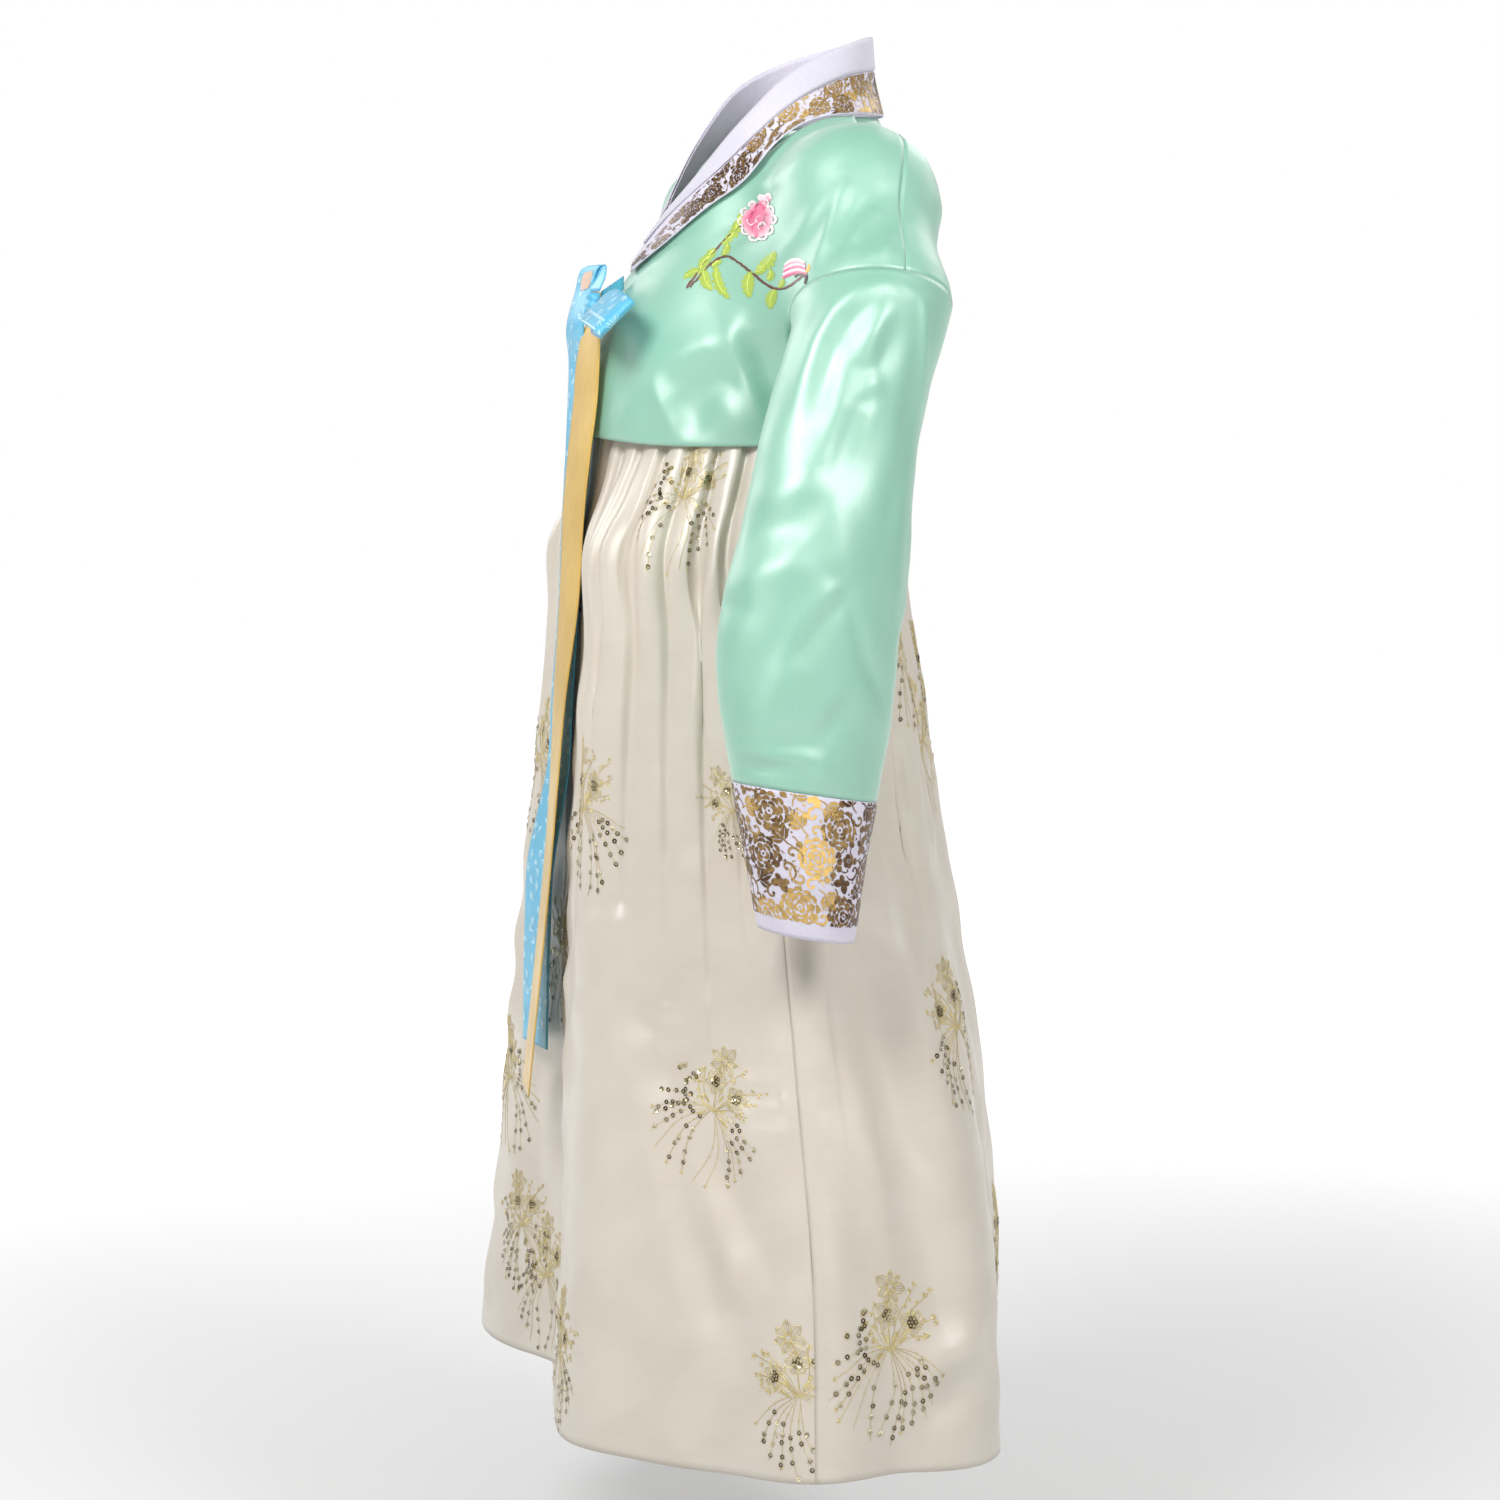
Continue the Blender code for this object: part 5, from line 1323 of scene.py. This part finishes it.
def heads(thread, rings, draw, spangled):
    """Two lacy heads on short stems, with a pointed flower above them."""
    for x, y, radius in ((-6.0, 30.0, 12.5), (20.0, 24.0, 12.0)):
        middle = np.array((x, y)) * MM
        lacy_flower(thread, middle, radius * MM, 6, False, draw)
        stem = smooth_path(np.array(((0, 0), (x * 0.35, y * 0.45), (x, y))) * MM, 8)
        thread.band(stem, 0.6 * MM, 0.5, crown=0.3 * MM)
        if spangled:
            for angle in np.arange(6) * math.pi / 3:
                spangle(rings, middle + polar(3.4 * MM, angle), draw, 0.0)
            spangle(rings, middle, draw, 0.0)
    lacy_flower(thread, np.array((-4.0, 52.0)) * MM, 16 * MM, 7, True, draw)
    stem = smooth_path(np.array(((-6, 30), (-7, 40), (-4, 52))) * MM, 6)
    thread.band(stem, 0.5 * MM, 0.5, crown=0.3 * MM)


def sprigs(thread, draw):
    """Upright sprigs with florets towards their tips, and loose leaves about the base."""
    for angle, length in ((48, 60), (32, 52), (66, 56), (20, 40), (118, 44), (140, 34)):
        angle = math.radians(angle + draw.uniform(-5, 5))
        end, bend = polar(length * MM, angle), polar(0.5 * length * MM, angle + 0.22)
        path = smooth_path((np.zeros(2), bend, end), 12)
        thread.band(path, 0.40 * MM, draw.uniform(0.3, 0.7), crown=0.25 * MM)
        for at in (5, 7, 9, 10, 11):
            side = polar(draw.uniform(2.0, 4.5) * MM, draw.uniform(0, 6))
            star_floret(thread, path[at] + side, draw.uniform(1.8, 3.0) * MM, draw)
    for _ in range(7):
        angle = math.radians(draw.uniform(-30, 210))
        start = polar(draw.uniform(5, 13) * MM, angle)
        way = polar(1, angle + draw.uniform(-0.6, 0.6))
        path = start + np.linspace(0, 10, 7)[:, None] * MM * way
        thread.band(path, leaf_widths(7, 1.5 * MM), draw.uniform(0.3, 0.9), crown=0.4 * MM)


def fine_stems(thread, rings, draw, spangled):
    """A spray of fine stems below the base, with rows of spangles to the ends of most."""
    stems, path_points = int(draw.integers(13, 17)), 14
    for stem in range(stems):
        share = stem / (stems - 1)
        angle = math.radians(-172 + 156 * share + draw.uniform(-4, 4))
        length = (44 + 34 * math.sin(math.pi * (0.15 + 0.75 * share)) * draw.uniform(0.75, 1.05)) * MM
        end = polar(length, angle)
        bend = polar(0.45 * length, angle + 0.30 * math.copysign(1, share - 0.5))
        path = smooth_path((np.array((draw.uniform(-2, 2) * MM, 4 * MM)), bend, end), path_points)
        thread.band(path, 0.27 * MM, draw.uniform(0.3, 0.8), crown=0.2 * MM)
        for at in (4, 6, 8):
            star_floret(thread, path[at], draw.uniform(1.0, 1.6) * MM, draw, 3)
        if draw.random() < 0.35:
            star_floret(thread, path[-1], 2.2 * MM, draw)
        if spangled and draw.random() < 0.72:
            places = np.cumsum(draw.uniform(1.2, 2.6, 5)) - 1.0
            for place in path_points - 1.0 - places[places < 8.0]:
                start = path[int(place)]
                spot = start + (place % 1) * (path[min(int(place) + 1, path_points - 1)] - start)
                spangle(rings, spot + draw.normal(0, 0.8, 2) * MM, draw)


def outlying_spangles(thread, rings, draw):
    """A double arc of spangles beside the heads, and a few with florets further out."""
    arc = polar(27 * MM, np.radians(np.linspace(150, 262, 9)))
    for place in arc * (1.0, 0.9) + np.array((-8.0, 14.0)) * MM:
        spangle(rings, place + draw.normal(0, 0.5, 2) * MM, draw)
    for x, y in draw.uniform(-1, 1, (6, 2)) * (15, 14) + (-34, 22):
        spangle(rings, np.array((x, y)) * MM, draw)
        star_floret(thread, np.array((x, y)) * MM, 3.4 * MM, draw, 6)


def bouquet(seed, spangled=True):
    """One spray of the skirt about its base, as its gold thread and its spangles."""
    draw = np.random.default_rng(seed)
    thread, rings = Sketch(), Sketch()
    heads(thread, rings, draw, spangled)
    sprigs(thread, draw)
    fine_stems(thread, rings, draw, spangled)
    if spangled:
        outlying_spangles(thread, rings, draw)
    return thread, rings


SPRAY_SEED = 51
# node, pixel of the base, turn in degrees, scale, mirrored, with spangles
SEEN_BOUQUETS = (
    ("chima_front", (584, 812), 6, 0.95, False, True),
    ("chima_front", (712, 1112), -22, 0.86, False, True),
    ("chima_front", (684, 500), -4, 0.84, False, True),
    ("chima_front", (801, 1398), 18, 0.92, True, True),
    ("chima_front", (560, 1352), -8, 0.90, False, True),
    ("chima_front", (522, 1226), 14, 0.82, False, True),
    ("chima_front", (735, 812), 30, 0.60, True, True),
    ("chima_back", (796, 1112), -12, 0.86, False, True),
    ("chima_back", (890, 1352), -6, 1.0, False, True),
    ("chima_back", (958, 1030), 10, 0.95, True, True),
    ("chima_back", (922, 742), 12, 0.95, False, False),
)
# node, share across and down, turn in degrees, scale, mirrored, with spangles
HIDDEN_BOUQUETS = (
    ("chima_front", (0.06, 0.30), -12, 0.95, True, True),
    ("chima_front", (0.20, 0.16), 12, 0.85, False, True),
    ("chima_front", (0.15, 0.55), 8, 0.95, False, True),
    ("chima_front", (0.05, 0.82), -8, 0.95, False, True),
    ("chima_front", (0.30, 0.74), 14, 0.95, True, True),
    ("chima_front", (0.33, 0.42), -10, 0.95, False, True),
    ("chima_front", (0.42, 0.92), 6, 0.90, False, True),
    ("chima_front", (0.46, 0.60), -16, 0.95, True, True),
    ("chima_front", (0.43, 0.22), 20, 0.80, True, True),
    ("chima_back", (0.40, 0.34), 10, 0.95, False, True),
    ("chima_back", (0.46, 0.62), -14, 0.95, True, True),
    ("chima_back", (0.38, 0.88), 6, 0.95, False, True),
    ("chima_back", (0.58, 0.22), -6, 0.85, False, True),
    ("chima_back", (0.60, 0.48), 16, 0.95, False, True),
    ("chima_back", (0.58, 0.78), -10, 0.95, True, True),
    ("chima_back", (0.73, 0.34), 8, 0.95, True, True),
    ("chima_back", (0.75, 0.62), -12, 0.95, False, True),
    ("chima_back", (0.74, 0.90), 12, 0.95, True, True),
    ("chima_back", (0.88, 0.24), -10, 0.90, False, True),
    ("chima_back", (0.90, 0.50), 6, 0.95, False, True),
    ("chima_back", (0.89, 0.78), -8, 0.95, True, True),
    ("chima_back", (0.22, 0.30), 10, 0.90, False, True),
)
GOLD_THREAD = shaded_finish(
    "gold_thread", (0.36, 0.26, 0.08), (0.84, 0.72, 0.38), roughness=0.36, metallic=0.30,
    Specular_IOR_Level=0.7,
)
SPANGLE = shaded_finish(
    "spangles", (0.095, 0.062, 0.022), (0.90, 0.82, 0.55), roughness=0.22, metallic=0.85, speck=150.0,
)
# The foil's gold light colour is painted reflection; its brown dark colour is the foil's own.
FOIL = shaded_finish(
    "foil_print", (0.070, 0.028, 0.010), (1.0, 0.66, 0.20), roughness=0.36, metallic=0.35, speck=350.0,
)
PINK_THREAD = shaded_finish("pink_thread", (0.72, 0.06, 0.22), (0.94, 0.78, 0.82), Sheen_Weight=0.3)
GREEN_THREAD = shaded_finish("green_thread", (0.22, 0.36, 0.03), (0.66, 0.78, 0.14), Sheen_Weight=0.3)
STEM_THREAD = shaded_finish("stem_thread", (0.012, 0.012, 0.014), (0.16, 0.06, 0.035), Sheen_Weight=0.2)
ORANGE_THREAD = shaded_finish("orange_thread", (0.80, 0.30, 0.02), (0.95, 0.55, 0.08), Sheen_Weight=0.2)


def cuff_foil_painted_reflection(place):
    """Brown foil with painted reflection: a soft upright band of gold glint, coppery glint before it and
    scattered gold spots.
    """
    x, y, z = place
    glint_patches = 0.5 + 0.5 * math.sin(95 * x + 2.1) * math.sin(80 * z + 55 * y)
    glint_streak = math.exp(-(((y + 0.018 + 0.06 * (z + 0.6)) / 0.013 + 7.2) ** 2))
    copper_glint = float(eased(-y - 0.105, 0.0, 0.02))
    return 0.04 + 0.75 * glint_streak + 0.22 * copper_glint * glint_patches + 0.30 * glint_patches**6


def collar_foil_painted_reflection(place):
    """Brown foil with painted reflection: gold glint beside the neck."""
    x, y, z = place
    glint_patches = 0.5 + 0.5 * math.sin(110 * y + 0.6) * math.sin(90 * z + 60 * x)
    return 0.05 + 0.75 * glint_patches * math.exp(-((z / 0.035) ** 2))


BLUE_THREAD = shaded_finish(
    "pale_blue_thread", (0.20, 0.58, 0.80), (0.62, 0.86, 0.95), roughness=0.35, Specular_IOR_Level=0.7,
)


def brocade_spray(draw):
    """A fan of fine leaf-like strokes woven into the ribbon."""
    sketch = Sketch()
    for angle in np.linspace(-0.9, 0.9, 6) + draw.uniform(-0.1, 0.1, 6):
        length = draw.uniform(6.0, 10.5) * MM
        path = smooth_path((np.zeros(2), polar(0.5 * length, angle + 0.12), polar(length, angle)), 7)
        sketch.band(path, leaf_widths(7, 0.6 * MM), lift=0.22 * MM, crown=0.08 * MM)
    return sketch


# The pale stripes of the bow's loop: across, from and to in mm from its middle, half width in mm
LOOP_STRIPES = ((8.4, -62, 62, 0.5), (9.9, -62, 62, 0.35), (19.7, -62, 62, 0.6))


def brocade(cloth, seed, name, stripes=()):
    """Sprays all over a ribbon, and its pale stripes."""
    work = Work()
    printed(work, cloth, (0.02, 0.98), seed, lambda place: 0.55, ((brocade_spray, 6.5, 260),))
    middle = tuple((np.array(cloth.points.shape[:2]) - 1) / 2)
    for across, low, high, half_width in stripes:
        stripe = Sketch()
        path = np.column_stack([np.full(15, across), np.linspace(low, high, 15)]) * MM
        stripe.band(path, half_width * MM, 0.95, lift=0.3 * MM, crown=0.15 * MM)
        work.lay(stripe, cloth, middle)
    work.piece(name, BLUE_THREAD, "blue_brocade")


brocade(cloths["goreum_loop"], 41, "loop_brocade", LOOP_STRIPES)
brocade(cloths["goreum_blue_tail"], 42, "blue_tail_brocade")

# The lining that shows where the ribbon turns over: its path and half widths in mm, and how far
# down the ribbon its middle is
LINING_PATH = ((2, 8.0), (3, 0.0), (4, -9.0))
LINING_POINTS, LINING_KNOTS, LINING_WIDTHS = 12, (0, 3, 8, 11), (7.5, 9.5, 9.5, 7.0)
LINING_DOWN = 0.050
lining = Sketch()
widths = np.interp(np.arange(LINING_POINTS), LINING_KNOTS, LINING_WIDTHS) * MM
lining.band(smooth_path(np.array(LINING_PATH) * MM, LINING_POINTS), widths, lift=0.35 * MM, crown=0.3 * MM)
work = Work()
tail = cloths["goreum_blue_tail"]
row = np.interp(LINING_DOWN, tail.down, np.arange(len(tail.down)))
work.lay(lining, tail, (row, (RIBBON_COLUMNS - 1) / 2))
work.piece("loop_lining", PEACH, "blue_brocade")

FOIL_PRINTS = (
    # node, printed rows as shares, seed, shade with its painted reflection, lift, scale, piece
    ("git_collar", (0.43, 0.985), 31, collar_foil_painted_reflection, 0.3 * MM, 0.72, "collar_foil"),
    ("cuff_left", (0.0, 0.89), 32, cuff_foil_painted_reflection, 0.0, 1.0, "left_cuff_foil"),
    ("cuff_right", (0.12, 1.0), 33, cuff_foil_painted_reflection, 0.0, 1.0, "right_cuff_foil"),
)
for node, rows, seed, shade_at, lift, scale, name in FOIL_PRINTS:
    foil = Work()
    printed(foil, cloths[node], rows, seed, shade_at, lift=lift, scale=scale)
    foil.piece(name, FOIL, "printed_cloth")

works = {node: (Work(), Work()) for node in ("chima_front", "chima_back")}
placed = [(node, cloths[node].seen(*pixel), *rest) for node, pixel, *rest in SEEN_BOUQUETS]
for node, (across, down), *rest in HIDDEN_BOUQUETS:
    last_row, last_column = np.array(cloths[node].points.shape[:2]) - 1
    placed.append((node, (down * last_row, across * last_column), *rest))
for seed, (node, spot, turn, scale, mirror, spangled) in enumerate(placed, start=SPRAY_SEED):
    for work, sketch in zip(works[node], bouquet(seed, spangled)):
        if sketch.points:
            work.lay(sketch, cloths[node], spot, math.radians(turn), scale, mirror)
for node, side in (("chima_front", "front"), ("chima_back", "back")):
    works[node][0].piece(f"skirt_{side}_gold_thread", GOLD_THREAD, "ivory_satin")
    works[node][1].piece(f"skirt_{side}_spangles", SPANGLE, "ivory_satin")


# The flowers stitched on the chest, drawn in pixels of the photograph


STITCH_CROWN = 0.6 * MM


def stitched(sketch, points, half_widths, shade, count=12):
    """A line of satin stitch through a few points, with half widths spread evenly along it."""
    path = smooth_path(points, count)
    widths = np.interp(np.linspace(0, 1, count), np.linspace(0, 1, len(half_widths)), half_widths)
    sketch.band(path, widths, shade, crown=STITCH_CROWN)


def stitched_leaf(sketch, start, end, widest):
    """A toothed leaf with a paler vein."""
    start, end = np.array(start, float), np.array(end, float)
    share = np.linspace(0, 1, 19)
    teeth = 1.3 + 0.40 * np.where(np.arange(19) % 3 == 0, -1.0, 0.5)
    bow = np.array((start[1] - end[1], end[0] - start[0])) * 0.12
    path = start + share[:, None] * (end - start) + np.sin(np.pi * share)[:, None] * bow
    widths = widest * np.maximum(np.sin(np.pi * (0.06 + 0.9 * share)), 0.05) ** 0.7 * teeth
    sketch.band(path, widths, 0.35, crown=STITCH_CROWN)
    sketch.band(path[2:-2], 0.45, 1.0, lift=0.9 * MM, crown=0.3 * MM)


CHEST_STEMS = (
    # points, half widths, shade, how many points the curve has
    (((687, 289), (697, 274), (710, 257), (726, 240), (742, 226)), (1.1, 1.2, 1.1), 0.8, 24),
    (((690, 288), (700, 277), (713, 263), (727, 257), (737, 262), (745, 268)), (0.9, 1.2, 1.3), 0.8, 24),
    (
        ((745, 268), (754, 275), (765, 284), (775, 289), (786, 288), (797, 281), (803, 276)),
        (1.3, 1.3, 1.2), 0.7, 24,
    ),
    (((795, 277), (801, 274), (806, 277), (805, 284)), (1.0, 2.0, 1.4), 0.1, 10),
)
CHEST_LEAVES = (
    # base, tip, half width
    ((722, 245), (741, 214), 3.6), ((716, 250), (708, 262), 3.0), ((712, 256), (700, 272), 3.8),
    ((722, 256), (728, 243), 2.6), ((702, 272), (684, 279), 3.2), ((704, 268), (712, 291), 4.4),
    ((716, 266), (729, 299), 3.8), ((722, 262), (712, 268), 2.4), ((752, 272), (750, 298), 4.6),
    ((757, 270), (775, 252), 4.6), ((755, 273), (766, 266), 2.8), ((768, 281), (771, 270), 3.0),
    ((776, 290), (771, 309), 4.2), ((779, 288), (783, 279), 2.4), ((733, 232), (737, 222), 2.6),
)
PEONY_PETALS = (
    # middle, reach, half width, angle in degrees
    ((756, 226), 17.0, 5.4, 262), ((753, 224), 15.0, 5.0, 226), ((751, 221), 13.5, 4.6, 190),
    ((753, 217), 13.0, 4.4, 156), ((757, 214), 13.0, 4.2, 118), ((762, 212), 15.0, 4.2, 82),
    ((764, 216), 12.5, 4.4, 42), ((764, 221), 13.0, 4.8, 8), ((762, 226), 13.0, 4.8, -32),
    ((759, 228), 14.0, 4.8, -66), ((763, 206), 11.0, 3.6, 96), ((766, 203), 9.0, 3.0, 62),
)
PETAL_WIDTHS = np.array((0.35, 0.7, 0.95, 1.05, 1.05, 0.98, 0.8, 0.4))
PETAL_REACH, PETAL_TIP = 0.72, 0.9
PEONY_MIDDLE = ((757, 238), (755, 226), (759, 216), (763, 206))
PEONY_CURLS = ((752, 222), (756, 216), (761, 221), (757, 229), (763, 228), (760, 209), (765, 204))
# How far each row of the far flower is above its base, and its shade
FLOWER_ROWS = ((0.0, 0.05), (3.0, 0.9), (5.6, 0.1), (8.2, 0.85), (10.6, 0.45), (12.6, 1.0))


def chest_flowers():
    """A peony with pale scalloped tips and curls, and a flower in rows of pink and white."""
    pink = Sketch()
    for (x, y), reach, half, angle in PEONY_PETALS:
        way = polar(1, math.radians(angle)) * (1, -1)
        path = np.array((x, y)) + np.linspace(0.1, 1, 8)[:, None] * reach * PETAL_REACH * way
        pink.band(path, half * PETAL_WIDTHS, np.linspace(0.0, 0.62, 8), crown=0.7 * MM)
        round_tip = math.radians(-angle) + np.linspace(-1.5, 1.5, 9)
        tip = path[-2] + half * PETAL_TIP * polar(1, round_tip)
        pink.band(tip, 1.15, 1.0, lift=0.6 * MM, crown=0.5 * MM)
    pink.band(smooth_path(PEONY_MIDDLE, 10), leaf_widths(10, 6.5, 0.5), 0.12, crown=0.9 * MM)
    for step, middle in enumerate(PEONY_CURLS):
        curl = np.array(middle) + 4.2 * polar(1, np.linspace(0.6 * step, 0.6 * step + 3.6, 9))
        pink.band(curl, 0.8, 0.0 if step % 2 else 0.85, lift=1.0 * MM, crown=0.3 * MM)
    for row, (rise, shade) in enumerate(FLOWER_ROWS):
        left, right = (783 + 0.4 * row, 278 - rise), (807 - 0.4 * row, 275 - 0.9 * rise)
        arc = (left, (790, 274.5 - rise), (799, 273 - rise), right)
        stitched(pink, arc, (1.2, 1.9, 1.9, 1.2), shade)
    return pink


green, stems, orange = Sketch(), Sketch(), Sketch()
for points, half_widths, shade, count in CHEST_STEMS:
    stitched(stems, points, half_widths, shade, count)
for start, end, widest in CHEST_LEAVES:
    stitched_leaf(green, start, end, widest)
stitched(orange, ((805, 273), (808.5, 269), (809, 265)), (1.2, 1.6, 1.0), 0.8, 8)
for name, sketch, finish in (
    ("chest_flowers", chest_flowers(), PINK_THREAD),
    ("chest_leaves", green, GREEN_THREAD),
    ("chest_stems", stems, STEM_THREAD),
    ("chest_flower_tip", orange, ORANGE_THREAD),
):
    work = Work()
    work.lay_seen(sketch, cloths["jeogori_front_left"])
    work.piece(name, finish, "mint_satin")


# Floor, light and camera


FLOOR_RADIUS, FLOOR_COLOUR, FLOOR_ROUGHNESS = 12.0, (0.70, 0.70, 0.70), 0.8
# From where to where the floor grows paler, and its own light at both
GLOW_REACH, GLOW = (1.1, 3.6), (0.16, 0.86)


def floor_finish():
    """Pale, slightly uneven, and with more light of its own further out, as studio paper."""
    finish, shader, add, join = new_finish("pale_floor", Roughness=FLOOR_ROUGHNESS, Emission_Strength=1.0)
    place = add("ShaderNodeTexCoord")
    grain = add("ShaderNodeTexNoise")
    grain.inputs["Scale"].default_value = 3.0
    join(place.outputs["Object"], grain.inputs["Vector"])
    tint = add("ShaderNodeMix", data_type="RGBA")
    tint.inputs[6].default_value = (*FLOOR_COLOUR, 1)
    tint.inputs[7].default_value = (*(0.97 * part for part in FLOOR_COLOUR), 1)
    join(grain.outputs["Fac"], tint.inputs[0])
    join(tint.outputs[2], shader.inputs["Base Color"])
    distance = add("ShaderNodeVectorMath", operation="LENGTH")
    join(place.outputs["Object"], distance.inputs[0])
    glow = ramp(add, *GLOW_REACH, *GLOW)
    join(distance.outputs["Value"], glow.inputs[0])
    join(glow.outputs[0], shader.inputs["Emission Color"])
    return finish


deselect_all()
bpy.ops.mesh.primitive_circle_add(vertices=96, radius=FLOOR_RADIUS, fill_type="NGON", location=(0, 0, 0))
floor = bpy.context.object
floor.name = "floor"
for vert in floor.data.vertices:
    vert.co.z = FLOOR_HEIGHT
floor.data.materials.append(floor_finish())

WORLD_LIGHT = 0.28
LIGHTS = (
    # name, place, aimed at, size, power
    ("key", (1.2, -1.8, 1.4), (0.0, -0.05, 0.05), 1.2, 54.0),
    ("side", (2.2, 0.7, 1.3), (0.1, 0.0, -0.10), 1.0, 36.0),
    ("back", (-1.8, 2.6, 1.6), (0.0, 0.0, -0.4), 1.8, 30.0),
    ("far", (-2.8, -1.6, 1.0), (0.0, 0.0, -0.5), 1.6, 30.0),
)
for name, place, aim, size, power in LIGHTS:
    light = bpy.data.lights.new(name, "AREA")
    light.shape, light.size, light.energy = "DISK", size, power
    lamp = bpy.data.objects.new(name, light)
    lamp.location = place
    lamp.rotation_euler = (Vector(aim) - Vector(place)).to_track_quat("-Z", "Y").to_euler()
    bpy.context.scene.collection.objects.link(lamp)

world = bpy.data.worlds.new("studio")
world.use_nodes = True
sky = world.node_tree.nodes["Background"]
add, join = nodes_of(world.node_tree)
way = add("ShaderNodeLightPath")
level = ramp(add, 0.0, 1.0, WORLD_LIGHT, 1.0)
join(way.outputs["Is Camera Ray"], level.inputs[0])
join(level.outputs[0], sky.inputs[1])
sky.inputs[0].default_value = (1.0, 1.0, 1.0, 1)
bpy.context.scene.world = world

bpy.context.scene.view_settings.view_transform = "Standard"

ahead, right, up = photo_ways()
lens = bpy.data.cameras.new("camera")
lens.sensor_width = SENSOR_WIDTH
lens.lens = PHOTO_FOCAL / PHOTO_SIZE * SENSOR_WIDTH
camera = bpy.data.objects.new("camera", lens)
camera.location = CAMERA_PLACE
camera.rotation_euler = ahead.to_track_quat("-Z", "Y").to_euler()
bpy.context.scene.collection.objects.link(camera)
bpy.context.scene.camera = camera
